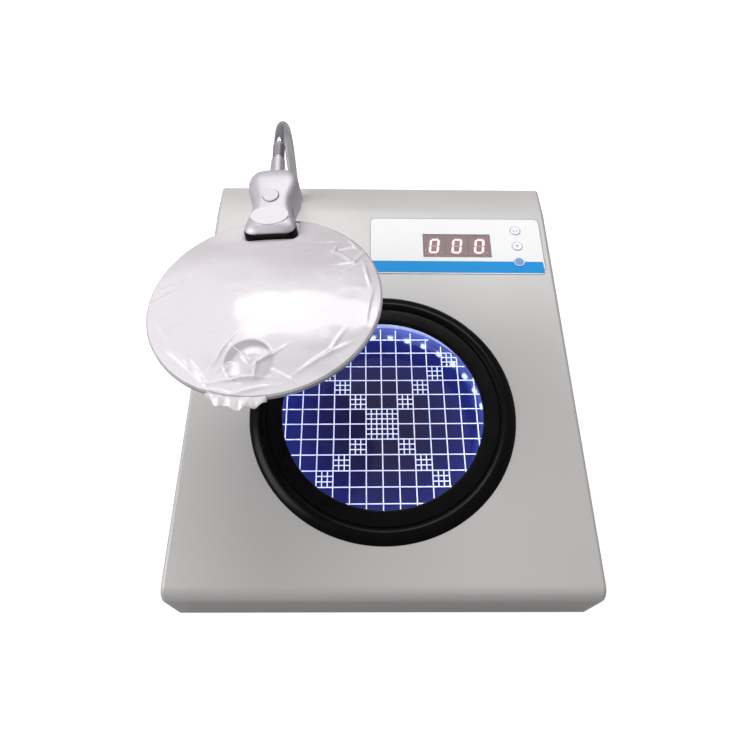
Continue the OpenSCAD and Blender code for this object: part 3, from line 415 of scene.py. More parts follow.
def make_white_polystyrene():
    # Vacuum-formed polystyrene: white, half matt, so that it spreads the lamps' light
    return plain("white_polystyrene", 0.8, 0.01, 40, ("#eceef2", "#e2e6f0"), Roughness=0.5)


def make_white_solder_mask():
    # White flexible circuit behind the lamps
    return plain("white_solder_mask", 0.6, 0.01, 12, ("#dfe4f6", "#d0d8f2"), Roughness=0.4)


def make_lit_lamp():
    # White light-emitting diode: yellowish phosphor under a cool white glow
    return plain("lit_lamp", 0.5, 0.01, 2, ("#fffbe8", "#fff6d8"),
                 Roughness=0.4, Emission_Strength=26.0, glow="#dfe6ff")


def make_lamp_epoxy():
    # Clear epoxy lamp body
    return plain("lamp_epoxy", 0.6, 0.01, 2, ("#f2f3f6", "#e6e8ee"),
                 Roughness=0.12, IOR=1.5, Coat_Weight=0.6)


def make_edge_lit_blue_plate():
    # Polished acrylic over a deep blue field. Its glow is painted light: an emission that is blue
    # towards its rim, where the lamps are, and almost black-violet in the middle
    made, tree, surface = start("edge_lit_blue_plate", Roughness=0.07, IOR=1.49,
                                Emission_Strength=1.0)
    place = add(tree, "ShaderNodeTexCoord").outputs["Object"]
    centre = WELL @ Vector((0, 0, PLATE_TOP)) * MM
    local = add(tree, "ShaderNodeVectorMath", {0: place, 1: tuple(centre)}, operation="SUBTRACT")
    reach = add(tree, "ShaderNodeVectorMath", {0: local.outputs[0]}, operation="LENGTH")
    cloud = add(tree, "ShaderNodeTexNoise", {"Vector": place, "Scale": per(55), "Detail": 2.0})
    wander = add(tree, "ShaderNodeMath", {0: cloud.outputs["Fac"], 1: 18 * MM,
                                          2: reach.outputs["Value"]}, operation="MULTIPLY_ADD")
    # Painted light: the glow's colour grows with the distance from the plate's middle
    glow = add(tree, "ShaderNodeValToRGB", {"Fac": add(tree, "ShaderNodeMapRange", {
        "Value": wander.outputs[0], "From Min": 0.0, "From Max": 80 * MM}).outputs["Result"]})
    ramp = glow.color_ramp
    ramp.elements[0].color = srgb("#1b1430")
    ramp.elements[0].position = 0.1
    ramp.elements[1].color = srgb("#5468c8")
    ramp.elements[1].position = 1.0
    for position, code in ((0.42, "#1a153c"), (0.68, "#1a1b58"), (0.86, "#1d2674")):
        ramp.elements.new(position).color = srgb(code)
    tree.links.new(glow.outputs["Color"], surface.inputs["Emission Color"])
    grain(tree, surface, 30, 0.004)
    surface.inputs["Base Color"].default_value = srgb("#08081c")
    return made


def make_engraved_line():
    # Lines cut in the acrylic and filled white, with a painted glow standing in for the edge light that they catch
    return plain("engraved_line", 0.6, 0.01, 30, ("#c9cdea", "#bfc4e6"),
                 Roughness=0.6, Emission_Strength=0.55, glow="#d3d8ff")


def make_blue_field_sheet():
    # Matt dark blue card under the plate
    return plain("blue_field_sheet", 0.5, 0.01, 20, ("#14164a", "#10123c"), Roughness=0.7)


def make_membrane_polyester():
    # Polyester film, printed white on its back: smooth with a fine satin top
    return plain("membrane_polyester", 0.35, 0.003, 60, ("#f8f8f9", "#f3f3f5"),
                 Roughness=0.35, IOR=1.57, Specular_IOR_Level=0.3)


def make_print_blue():
    # Screen ink, light blue
    return plain("print_blue", 0.3, 0.002, 25, ("#189be8", "#1296e2"),
                 Roughness=0.45, Specular_IOR_Level=0.15)


def make_print_grey():
    # Painted shade: pale grey, for the shaded line round the panel's edge
    return plain("print_grey", 0.3, 0.002, 20, ("#a3a3aa", "#9a9aa2"),
                 Roughness=0.45, Specular_IOR_Level=0.2)


def make_print_key_blue():
    # Screen ink, grey-blue, for the keys' rings and signs
    return plain("print_key_blue", 0.3, 0.002, 4, ("#93a3cc", "#8a9bc6"),
                 Roughness=0.45, Specular_IOR_Level=0.2)


def make_blue_key_cap():
    # Moulded polycarbonate key, blue
    return plain("blue_key_cap", 0.4, 0.004, 4, ("#1f86d2", "#1b7fca"), Roughness=0.3, IOR=1.58)


def make_white_key_cap():
    # Moulded polycarbonate key, white
    return plain("white_key_cap", 0.4, 0.004, 4, ("#f7f7fa", "#f1f1f5"), Roughness=0.32, IOR=1.58)


def make_grey_digit_face():
    # Filled polycarbonate face of a digit module: warm grey, with the lit segments' red spill painted on as a faint
    # glow
    return plain("grey_digit_face", 0.4, 0.006, 9, ("#85787a", "#7c6f72"),
                 Roughness=0.6, Emission_Strength=0.1, glow="#b06a70")


def make_lit_segment():
    # Segment lit from behind: overexposed, nearly white with a red edge
    return plain("lit_segment", 0.4, 0.004, 3, ("#f4e6e4", "#efdedd"),
                 Roughness=0.5, Emission_Strength=1.0, glow="#fff4f0")


def make_halo_red():
    # Painted glow: the red spill round a lit segment, as a thin see-through layer in the window film
    return plain("halo_red", 0.4, 0.004, 3, ("#e08a90", "#da8289"),
                 Roughness=0.6, Alpha=0.32, Emission_Strength=0.5, glow="#ff9a9c")


def make_unlit_segment():
    # Unlit segment, with its neighbours' light painted on as a pink tone and a faint glow
    return plain("unlit_segment", 0.4, 0.004, 3, ("#b98389", "#b07b82"),
                 Roughness=0.5, Emission_Strength=0.25, glow="#e58a92")


def make_window_film():
    # Clear window of the membrane: smooth and slightly smoked
    return plain("window_film", 8, 0.003, 20, ("#9c9092", "#94888a"),
                 Roughness=0.12, IOR=1.5, Alpha=0.08)


def make_polished_acrylic():
    # Cast acrylic, polished: clear, with the cool edge that thick acrylic shows
    return plain("polished_acrylic", 30, 0.004, 60, ("#eef2f4", "#e6ecf0"),
                 Roughness=0.03, IOR=1.49, Transmission_Weight=0.94)


def make_ground_acrylic():
    # The lens's ground edge: frosted grey, where the faces are polished
    return plain("ground_acrylic", 0.3, 0.01, 9, ("#bdb9c2", "#aeaab4"), Roughness=0.55, IOR=1.49)


def make_polyethylene_film():
    # Protective polyethylene: milky and soft, with folds where it has lifted; the bright lines on them are painted
    # highlights
    made, tree, surface = start("polyethylene_film", Roughness=0.3, IOR=1.51, Alpha=0.93,
                                Coat_Weight=0.6, Coat_Roughness=0.1)
    place = add(tree, "ShaderNodeTexCoord").outputs["Object"]
    grain(tree, surface, 7, 0.16, detail=4.0, where=place)
    # Lighter streaks run across it at a slant, and a painted shade darkens it towards the hub
    drawn = add(tree, "ShaderNodeMapping", {"Vector": place, "Rotation": (0, 0, math.radians(-24)),
                                            "Scale": (0.4, 1, 1)})
    streak = add(tree, "ShaderNodeTexNoise", {"Vector": drawn.outputs[0], "Scale": per(34),
                                              "Detail": 2.5})
    along = add(tree, "ShaderNodeSeparateXYZ", {0: place})
    # Painted shade: the tone falls with Y, darker towards the hub
    lean = add(tree, "ShaderNodeMath", {0: along.outputs["Y"], 1: -3.0, 2: streak.outputs["Fac"]},
               operation="MULTIPLY_ADD")
    tone = add(tree, "ShaderNodeValToRGB", {"Fac": lean.outputs[0]})
    tone.color_ramp.elements[0].color = srgb("#d3ccd1")
    tone.color_ramp.elements[0].position = 0.42
    tone.color_ramp.elements[1].color = srgb("#e9e4e8")
    tone.color_ramp.elements[1].position = 0.66
    # Painted shade: a dark sickle on the side towards the hub stands in for the dark things
    # that the strong lens under it shows
    masks = []
    for x, y, low, high in ((0, 0, 10.8, 10.2), (3.2, -3.6, 9.0, 11.0)):
        spot = LENS @ Vector((SPOT_X + x, SPOT_Y + y, 3)) * MM
        away = add(tree, "ShaderNodeVectorMath", {0: place, 1: tuple(spot)}, operation="DISTANCE")
        masks.append(add(tree, "ShaderNodeMapRange", {
            "Value": away.outputs["Value"], "From Min": low * MM, "From Max": high * MM,
            "To Min": 0.0, "To Max": 0.7}))
    # The painted sickle's mask: inside the strong lens's rim and outside an offset circle
    sickle = add(tree, "ShaderNodeMath", {0: masks[0].outputs["Result"],
                                          1: masks[1].outputs["Result"]}, operation="MULTIPLY")
    shade = add(tree, "ShaderNodeMix", {0: sickle.outputs[0], 6: tone.outputs["Color"],
                                        7: srgb("#5d575c")}, data_type="RGBA")
    tree.links.new(shade.outputs[2], surface.inputs["Base Color"])
    rough_drift(tree, surface, 20, 0.2, 0.42)
    return made


def make_creased_polyethylene():
    # The same film, painted white along the sharpest creases as painted highlights
    return plain("creased_polyethylene", 1.5, 0.02, 6, ("#ffffff", "#f4f2f4"),
                 Roughness=0.4, IOR=1.51, Coat_Weight=0.5)


def make_white_acrylic():
    # Moulded acrylic inlay, white
    return plain("white_acrylic", 6, 0.004, 10, ("#e6e3e8", "#dedbe0"),
                 Roughness=0.35, IOR=1.49, Specular_IOR_Level=0.3)


def make_glass_fibre_board():
    # Green solder mask over glass fibre and copper
    made, tree, surface = start("glass_fibre_board", Roughness=0.35)
    place = add(tree, "ShaderNodeTexCoord").outputs["Object"]
    weave = add(tree, "ShaderNodeTexWave", {"Vector": place, "Scale": per(2.5), "Distortion": 2.0})
    tone = add(tree, "ShaderNodeValToRGB", {"Fac": weave.outputs["Fac"]})
    tone.color_ramp.elements[0].color = srgb("#0c4f2c")
    tone.color_ramp.elements[1].color = srgb("#136b3c")
    tree.links.new(tone.outputs["Color"], surface.inputs["Base Color"])
    grain(tree, surface, 0.8, 0.01)
    return made


def make_moulded_phenolic():
    # Transfer-moulded component body: matt charcoal
    return plain("moulded_phenolic", 0.3, 0.01, 6, ("#202224", "#282a2c"), Roughness=0.6)


def make_nickel_plated_brass():
    # Dull nickel over turned brass: warm silver
    return plain("nickel_plated_brass", 0.5, 0.004, 6, ("#c8c4b8", "#bab6aa"),
                 Metallic=1.0, Roughness=0.25)


def make_ribbon_vinyl():
    # Flat ribbon cable: grey vinyl, ridged at the 1.27 mm pitch of its wires
    made, tree, surface = start("ribbon_vinyl", Roughness=0.5)
    place = add(tree, "ShaderNodeTexCoord").outputs["Object"]
    ridges = add(tree, "ShaderNodeTexWave", {"Vector": place, "Scale": per(1.27) / 20})
    bump = add(tree, "ShaderNodeBump", {"Height": ridges.outputs["Fac"], "Strength": 1.0,
                                        "Distance": 0.3 * MM})
    grain(tree, surface, 0.5, 0.01, spread=8, tones=("#9a9a9c", "#8e8e91"))
    tree.links.new(bump.outputs["Normal"], surface.inputs["Normal"])
    return made


# ---------------------------------------------------------------- meshes


def linked(name, data):
    """A new object of that mesh, lamp or camera, in the scene."""
    piece = bpy.data.objects.new(name, data)
    bpy.context.scene.collection.objects.link(piece)
    return piece


@contextmanager
def edited(mesh):
    """Opens a mesh for editing and writes it back."""
    work = bmesh.new()
    work.from_mesh(mesh)
    yield work
    work.to_mesh(mesh)
    work.free()


def new_piece(name, points, faces, place, finish, smooth=40):
    """A mesh piece from points in millimetres, put at place, with its normals outward."""
    mesh = bpy.data.meshes.new(name)
    mesh.from_pydata([place @ Vector(p) * MM for p in points], [], faces)
    with edited(mesh) as work:
        bmesh.ops.remove_doubles(work, verts=work.verts, dist=0.002 * MM)
        bmesh.ops.recalc_face_normals(work, faces=work.faces)
        soften(work, smooth)
    mesh.materials.append(finish_of(finish))
    return linked(name, mesh)


def soften(work, smooth):
    """Smooth faces, with the edges sharper than that many degrees kept crisp."""
    for face in work.faces:
        face.smooth = True
    for edge in work.edges:
        edge.smooth = edge.calc_face_angle(0) < math.radians(smooth)


def even_normals(piece):
    """Weights a piece's corner normals by face size, so that flat faces stay flat."""
    even = piece.modifiers.new("even", "WEIGHTED_NORMAL")
    even.keep_sharp = True
    even.weight = 80


def settle(piece):
    """Applies a piece's modifiers to its mesh."""
    ready = piece.evaluated_get(bpy.context.evaluated_depsgraph_get())
    mesh = bpy.data.meshes.new_from_object(ready)
    piece.modifiers.clear()
    piece.data = mesh
    return piece


def thicken(piece):
    """Gives a sheet of film its thickness."""
    thick = piece.modifiers.new("thickness", "SOLIDIFY")
    thick.thickness = FILM_T * MM
    thick.offset = 1
    return settle(piece)


def copy_of(node, finish, name=None, smooth=32, slot=None, body=None, ridge=False):
    """A softened copy that stands for a CAD node, with the deck's ridge kept crisp if asked."""
    source = frame["nodes"][node]
    mesh = source.data.copy()
    mesh.name = name or node + "_dressed"
    piece = linked(mesh.name, mesh)
    with edited(mesh) as work:
        bmesh.ops.remove_doubles(work, verts=work.verts, dist=0.004 * MM)
        soften(work, smooth)
        if ridge:
            fold = into(RIDGE)
            edges = [e for e in work.edges if all((fold @ v.co).yz.length < 0.1 for v in e.verts)]
            if not edges:
                raise ValueError("no edge of " + node + " lies on the ridge")
            for edge in edges:
                edge.smooth = False
    if mesh.has_custom_normals:
        with bpy.context.temp_override(object=piece, active_object=piece, selected_objects=[piece]):
            bpy.ops.mesh.customdata_custom_splitnormals_clear()
    even_normals(piece)
    settle(piece)
    piece.data.materials.clear()
    piece.data.materials.append(finish_of(finish))
    return carry(piece, body or source["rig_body"], slot or slot_of(node), node)


def slot_of(node):
    """The record's material slot of a CAD node."""
    return next(p["material_slot"] for p in frame["record"]["subparts"] if p["node"] == node)


def carry(piece, body, slot=None, *nodes):
    """Rides a finished piece on its body, names its slot and the nodes that it stands for."""
    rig.ride(piece, body)
    if slot:
        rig.slot(piece, slot)
    if nodes:
        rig.replaces(piece, *nodes)
    return piece


def dress(node, finish):
    """Gives a CAD node its finish."""
    mesh = frame["nodes"][node].data
    mesh.materials.clear()
    mesh.materials.append(finish_of(finish))


def revolve(name, profile, place, finish, steps=192, smooth=40):
    """A closed (radius, height) profile turned about z."""
    points = [(r * math.cos(2 * math.pi * k / steps), r * math.sin(2 * math.pi * k / steps), z)
              for k in range(steps) for r, z in profile]
    n = len(profile)
    faces = [(k * n + i, ((k + 1) % steps) * n + i, ((k + 1) % steps) * n + (i + 1) % n,
              k * n + (i + 1) % n) for k in range(steps) for i in range(n)]
    return new_piece(name, points, faces, place, finish, smooth)


def plate_of(name, outline, low, high, place, finish, smooth=40):
    """A flat plate with that outline and straight sides, between two heights."""
    n = len(outline)
    points = [(x, y, z) for z in (low, high) for x, y in outline]
    faces = [tuple(range(n)), tuple(range(2 * n - 1, n - 1, -1))]
    faces += [(i, (i + 1) % n, n + (i + 1) % n, n + i) for i in range(n)]
    return new_piece(name, points, faces, place, finish, smooth)


def band(name, outer, inner, low, high, place, finish):
    """A flat ring between two outlines with as many points each."""
    n = len(outer)
    points = [(x, y, z) for z in (low, high) for line in (outer, inner) for x, y in line]
    faces = []
    for i in range(n):
        j = (i + 1) % n
        faces += [(i, j, n + j, n + i), (2 * n + i, 3 * n + i, 3 * n + j, 2 * n + j),
                  (i, 2 * n + i, 2 * n + j, j), (n + i, n + j, 3 * n + j, 3 * n + i)]
    return new_piece(name, points, faces, place, finish)


def rounded(w, d, r, steps=10):
    """The outline of a rounded rectangle."""
    return [(sx * (w / 2 - r) + r * math.cos(math.radians(a0 + 90 * k / steps)),
             sy * (d / 2 - r) + r * math.sin(math.radians(a0 + 90 * k / steps)))
            for sx, sy, a0 in ((1, 1, 0), (-1, 1, 90), (-1, -1, 180), (1, -1, 270))
            for k in range(steps + 1)]


def circle(r, steps, x=0, y=0):
    """The outline of a circle about x and y."""
    return [(x + r * math.cos(2 * math.pi * k / steps), y + r * math.sin(2 * math.pi * k / steps))
            for k in range(steps)]


# ---------------------------------------------------------------- geometry-node trees


def new_tree(name, sockets):
    """A geometry-node tree with those named inputs, as (tree, its input node)."""
    tree = bpy.data.node_groups.new(name, "GeometryNodeTree")
    tree.interface.new_socket(name="Geometry", in_out="INPUT", socket_type="NodeSocketGeometry")
    tree.interface.new_socket(name="Geometry", in_out="OUTPUT", socket_type="NodeSocketGeometry")
    for label, kind in sockets:
        tree.interface.new_socket(name=label, in_out="INPUT", socket_type="NodeSocket" + kind)
    return tree, add(tree, "NodeGroupInput")


def end_tree(tree, given, geometry):
    """Closes a tree: instances made real, the finish set, and the result given out."""
    real = add(tree, "GeometryNodeRealizeInstances", {"Geometry": geometry})
    done = add(tree, "GeometryNodeSetMaterial", {"Geometry": real.outputs[0],
                                                 "Material": given.outputs["Finish"]})
    add(tree, "NodeGroupOutput", {"Geometry": done.outputs[0]})


def grown(name, tree, values, finish, place, points=((0, 0, 0),)):
    """Runs a tree on a few points, in millimetres, and returns its result as a plain piece."""
    mesh = bpy.data.meshes.new(name)
    mesh.from_pydata([Vector(p) for p in points], [], [])
    piece = linked(name, mesh)
    grow = piece.modifiers.new("grow", "NODES")
    grow.node_group = tree
    for item in tree.interface.items_tree:
        if item.in_out == "INPUT" and item.name in values:
            grow[item.identifier] = values[item.name]
        elif item.in_out == "INPUT" and item.name == "Finish":
            grow[item.identifier] = finish_of(finish)
    settle(piece)
    piece.data.transform(Matrix.Scale(MM, 4) @ place)
    return piece


def grid_tree():
    """Straight lines at one pitch both ways, cut off at a circle, and squares cut in nine."""
    tree, given = new_tree("engraved_grid", (("Pitch", "Float"), ("Radius", "Float"),
                                             ("Line Width", "Float"), ("Height", "Float"),
                                             ("Lines", "Int"), ("Finish", "Material")))
    out = given.outputs
    bar = add(tree, "GeometryNodeMeshCube")
    last = add(tree, "ShaderNodeMath", {0: out["Lines"], 1: 1.0}, operation="SUBTRACT")
    half = add(tree, "ShaderNodeMath", {0: last.outputs[0], 1: 2.0}, operation="DIVIDE")
    reach = add(tree, "ShaderNodeMath", {0: half.outputs[0], 1: out["Pitch"]}, operation="MULTIPLY")
    back = add(tree, "ShaderNodeMath", {0: reach.outputs[0], 1: -1.0}, operation="MULTIPLY")
    first = add(tree, "ShaderNodeCombineXYZ", {"X": back.outputs[0]})
    step = add(tree, "ShaderNodeCombineXYZ", {"X": out["Pitch"]})
    row = add(tree, "GeometryNodeMeshLine", {"Count": out["Lines"],
                                             "Start Location": first.outputs[0],
                                             "Offset": step.outputs[0]})
    # Each line is as long as the circle's chord there
    here = add(tree, "GeometryNodeInputPosition")
    spot = add(tree, "ShaderNodeSeparateXYZ", {0: here.outputs[0]})
    square = add(tree, "ShaderNodeMath", {0: spot.outputs["X"], 1: spot.outputs["X"]},
                 operation="MULTIPLY")
    full = add(tree, "ShaderNodeMath", {0: out["Radius"], 1: out["Radius"]}, operation="MULTIPLY")
    rest = add(tree, "ShaderNodeMath", {0: full.outputs[0], 1: square.outputs[0]},
               operation="SUBTRACT")
    chord = add(tree, "ShaderNodeMath", {0: rest.outputs[0]}, operation="SQRT")
    long = add(tree, "ShaderNodeMath", {0: chord.outputs[0], 1: 2.0}, operation="MULTIPLY")
    size = add(tree, "ShaderNodeCombineXYZ", {"X": out["Line Width"], "Y": long.outputs[0],
                                              "Z": out["Height"]})
    lines = add(tree, "GeometryNodeInstanceOnPoints", {"Points": row.outputs["Mesh"],
                                                       "Instance": bar.outputs["Mesh"],
                                                       "Scale": size.outputs[0]})
    across = add(tree, "GeometryNodeTransform", {"Geometry": lines.outputs[0],
                                                 "Rotation": (0, 0, math.pi / 2)})
    # Squares on the two diagonals are cut in nine by two bars each way
    third = add(tree, "ShaderNodeMath", {0: out["Pitch"], 1: 3.0}, operation="DIVIDE")
    sixth = add(tree, "ShaderNodeMath", {0: third.outputs[0], 1: -0.5}, operation="MULTIPLY")
    aside = add(tree, "ShaderNodeCombineXYZ", {"X": sixth.outputs[0]})
    apart = add(tree, "ShaderNodeCombineXYZ", {"X": third.outputs[0]})
    pair = add(tree, "GeometryNodeMeshLine", {"Count": 2, "Start Location": aside.outputs[0],
                                              "Offset": apart.outputs[0]})
    short = add(tree, "ShaderNodeCombineXYZ", {"X": out["Line Width"], "Y": out["Pitch"],
                                               "Z": out["Height"]})
    two = add(tree, "GeometryNodeInstanceOnPoints", {"Points": pair.outputs["Mesh"],
                                                     "Instance": bar.outputs["Mesh"],
                                                     "Scale": short.outputs[0]})
    other = add(tree, "GeometryNodeTransform", {"Geometry": two.outputs[0],
                                                "Rotation": (0, 0, math.pi / 2)})
    hatch = add(tree, "GeometryNodeJoinGeometry")
    for part in (two, other):
        tree.links.new(part.outputs[0], hatch.inputs[0])
    # Ten squares lie along each diagonal, the first four and a half squares from the middle
    far = add(tree, "ShaderNodeMath", {0: out["Pitch"], 1: -4.5}, operation="MULTIPLY")
    near = add(tree, "ShaderNodeMath", {0: far.outputs[0], 1: -1.0}, operation="MULTIPLY")
    down = add(tree, "ShaderNodeMath", {0: out["Pitch"], 1: -1.0}, operation="MULTIPLY")
    joined = add(tree, "GeometryNodeJoinGeometry")
    for y, dy in ((far.outputs[0], out["Pitch"]), (near.outputs[0], down.outputs[0])):
        corner = add(tree, "ShaderNodeCombineXYZ", {"X": far.outputs[0], "Y": y})
        along = add(tree, "ShaderNodeCombineXYZ", {"X": out["Pitch"], "Y": dy})
        diagonal = add(tree, "GeometryNodeMeshLine", {"Count": 10,
                                                      "Start Location": corner.outputs[0],
                                                      "Offset": along.outputs[0]})
        cells = add(tree, "GeometryNodeInstanceOnPoints", {"Points": diagonal.outputs["Mesh"],
                                                           "Instance": hatch.outputs[0]})
        tree.links.new(cells.outputs[0], joined.inputs[0])
    for part in (lines, across):
        tree.links.new(part.outputs[0], joined.inputs[0])
    end_tree(tree, given, joined.outputs[0])
    return tree


def lamp_ring_tree():
    """Small lamps on a circle, each a package with a domed face that looks inwards."""
    tree, given = new_tree("lamp_ring", (("Count", "Int"), ("Radius", "Float"), ("Width", "Float"),
                                         ("Height", "Float"), ("Depth", "Float"),
                                         ("Finish", "Material")))
    out = given.outputs
    ring = add(tree, "GeometryNodeMeshCircle", {"Vertices": out["Count"], "Radius": out["Radius"]})
    size = add(tree, "ShaderNodeCombineXYZ", {"X": out["Depth"], "Y": out["Width"],
                                              "Z": out["Height"]})
    case = add(tree, "GeometryNodeMeshCube", {"Size": size.outputs[0]})
    inward = add(tree, "ShaderNodeMath", {0: out["Depth"], 1: -0.5}, operation="MULTIPLY")
    seat = add(tree, "ShaderNodeCombineXYZ", {"X": inward.outputs[0]})
    face = add(tree, "GeometryNodeMeshUVSphere", {"Segments": 16, "Rings": 8,
                                                  "Radius": out["Height"]})
    dome = add(tree, "GeometryNodeTransform", {"Geometry": face.outputs[0],
                                               "Translation": seat.outputs[0],
                                               "Scale": (0.12, 0.42, 0.42)})
    lamp = add(tree, "GeometryNodeJoinGeometry")
    for part in (case.outputs[0], dome.outputs[0]):
        tree.links.new(part, lamp.inputs[0])
    here = add(tree, "GeometryNodeInputPosition")
    spot = add(tree, "ShaderNodeSeparateXYZ", {0: here.outputs[0]})
    angle = add(tree, "ShaderNodeMath", {0: spot.outputs["Y"], 1: spot.outputs["X"]},
                operation="ARCTAN2")
    facing = add(tree, "ShaderNodeCombineXYZ", {"Z": angle.outputs[0]})
    lamps = add(tree, "GeometryNodeInstanceOnPoints", {"Points": ring.outputs[0],
                                                       "Instance": lamp.outputs[0],
                                                       "Rotation": facing.outputs[0]})
    end_tree(tree, given, lamps.outputs[0])
    return tree


def screw_tree():
    """A pan-head screw with a cross recess at each point, its shank along +z."""
    tree, given = new_tree("pan_head_screws", (("Shank Radius", "Float"), ("Shank Length", "Float"),
                                               ("Turn", "Float"), ("Finish", "Material")))
    out = given.outputs
    r, length = out["Shank Radius"], out["Shank Length"]
    shank_r = add(tree, "ShaderNodeMath", {0: r, 1: 0.98}, operation="MULTIPLY")
    shank = add(tree, "GeometryNodeMeshCylinder", {"Vertices": 20, "Radius": shank_r.outputs[0],
                                                   "Depth": length})
    middle = add(tree, "ShaderNodeVectorMath", {0: (0, 0, 0.5), "Scale": length}, operation="SCALE")
    shank_up = add(tree, "GeometryNodeTransform", {"Geometry": shank.outputs["Mesh"],
                                                   "Translation": middle.outputs[0]})
    # The head is the lower half of a flattened ball
    ball_r = add(tree, "ShaderNodeMath", {0: r, 1: 1.88}, operation="MULTIPLY")
    ball = add(tree, "GeometryNodeMeshUVSphere", {"Segments": 28, "Rings": 16,
                                                  "Radius": ball_r.outputs[0]})
    cap = add(tree, "GeometryNodeTransform", {"Geometry": ball.outputs[0], "Scale": (1, 1, 0.56)})
    span = add(tree, "ShaderNodeVectorMath", {0: (6, 6, 4), "Scale": r}, operation="SCALE")
    room = add(tree, "GeometryNodeMeshCube", {"Size": span.outputs[0]})
    rise = add(tree, "ShaderNodeVectorMath", {0: (0, 0, 2), "Scale": r}, operation="SCALE")
    above = add(tree, "GeometryNodeTransform", {"Geometry": room.outputs[0],
                                                "Translation": rise.outputs[0]})
    head = add(tree, "GeometryNodeMeshBoolean", {0: cap.outputs[0], 1: above.outputs[0]},
               operation="DIFFERENCE")
    slots = add(tree, "GeometryNodeJoinGeometry")
    sink = add(tree, "ShaderNodeVectorMath", {0: (0, 0, -1.05), "Scale": r}, operation="SCALE")
    for shape in ((1.9, 0.42, 1.0), (0.42, 1.9, 1.0)):
        size = add(tree, "ShaderNodeVectorMath", {0: shape, "Scale": r}, operation="SCALE")
        slot = add(tree, "GeometryNodeMeshCube", {"Size": size.outputs[0]})
        low = add(tree, "GeometryNodeTransform", {"Geometry": slot.outputs[0],
                                                  "Translation": sink.outputs[0]})
        tree.links.new(low.outputs[0], slots.inputs[0])
    crossed = add(tree, "GeometryNodeMeshBoolean", {0: head.outputs[0], 1: slots.outputs[0]},
                  operation="DIFFERENCE")
    whole = add(tree, "GeometryNodeJoinGeometry")
    for part in (crossed.outputs[0], shank_up.outputs[0]):
        tree.links.new(part, whole.inputs[0])
    twist = add(tree, "ShaderNodeCombineXYZ", {"Z": out["Turn"]})
    screws = add(tree, "GeometryNodeInstanceOnPoints", {"Points": out["Geometry"],
                                                        "Instance": whole.outputs[0],
                                                        "Rotation": twist.outputs[0]})
    end_tree(tree, given, screws.outputs[0])
    return tree


# ---------------------------------------------------------------- settings


class WellSettings(bpy.types.PropertyGroup):
    pitch: FloatProperty(name="Grid pitch", description="Side of one grid square, in mm",
                         default=10, min=5, max=20)
    line_width: FloatProperty(name="Line width", description="Width of an engraved line, in mm",
                              default=0.66, min=0.2, max=2)
    reach: FloatProperty(name="Grid radius", description="Radius at which the lines stop, in mm",
                         default=68, min=40, max=69)
    lamps: IntProperty(name="Lamps", description="Number of lamps round the well", default=36,
                       min=12, max=60)


class MagnifierSettings(bpy.types.PropertyGroup):
    crumple: FloatProperty(name="Film crumple", description="Height of the film's folds, in mm",
                           default=1.4, min=0, max=3)
    lift: FloatProperty(name="Film lift", description="How far the film stands off the lens, in mm",
                        default=0.15, min=0.05, max=1)
    film_reach: FloatProperty(name="Film radius", description="Radius of the cut film, in mm",
                              default=54.7, min=40, max=56)


class StageSettings(bpy.types.PropertyGroup):
    floor: FloatVectorProperty(name="Floor", description="Colour of the floor and backdrop",
                               subtype="COLOR", default=(0.36, 0.36, 0.36), min=0, max=1)
    key_power: FloatProperty(name="Key lamp", description="Power of the lamp at the back",
                             subtype="POWER", default=12.5, min=0)
    fill_power: FloatProperty(name="Fill lamp", description="Power of the lamp at the left front",
                              subtype="POWER", default=26.0, min=0)
    sky: FloatProperty(name="Sky", description="Brightness of the studio round the object",
                       default=0.36, min=0, max=2)


# ---------------------------------------------------------------- stage

CAMERA_PLACE, CAMERA_TURN = (-9.795, -200.389, 342.897), (32.789, -0.850, -0.257)
CAMERA_LENS, CAMERA_SENSOR = 27.02, 36
# The white card and the lamps are in metres
CARD_HALF_W, CARD_FRONT, CARD_BACK, CARD_BEND, CARD_TOP = 2, -1.6, 0.9, 0.5, 1.8
CARD_LIFT = 0.86
# Each softbox: its name, the setting with its power, its place, its aim and its size
SOFTBOXES = (
    ("back_softbox", "key_power", (0.0, 0.94, 1.43), (0.0, 0.05, 0.05), (1.4, 0.42)),
    ("left_softbox", "fill_power", (-1.5, -0.4, 1.4), (0, 0, 0.05), (1.2, 1.2)))


def seen_by_camera(tree):
    """An output that is 1 for the camera's rays, straight on or through glass."""
    path = add(tree, "ShaderNodeLightPath")
    return add(tree, "ShaderNodeMath", {0: path.outputs["Is Camera Ray"],
                                        1: path.outputs["Is Transmission Ray"]},
               operation="MAXIMUM").outputs[0]


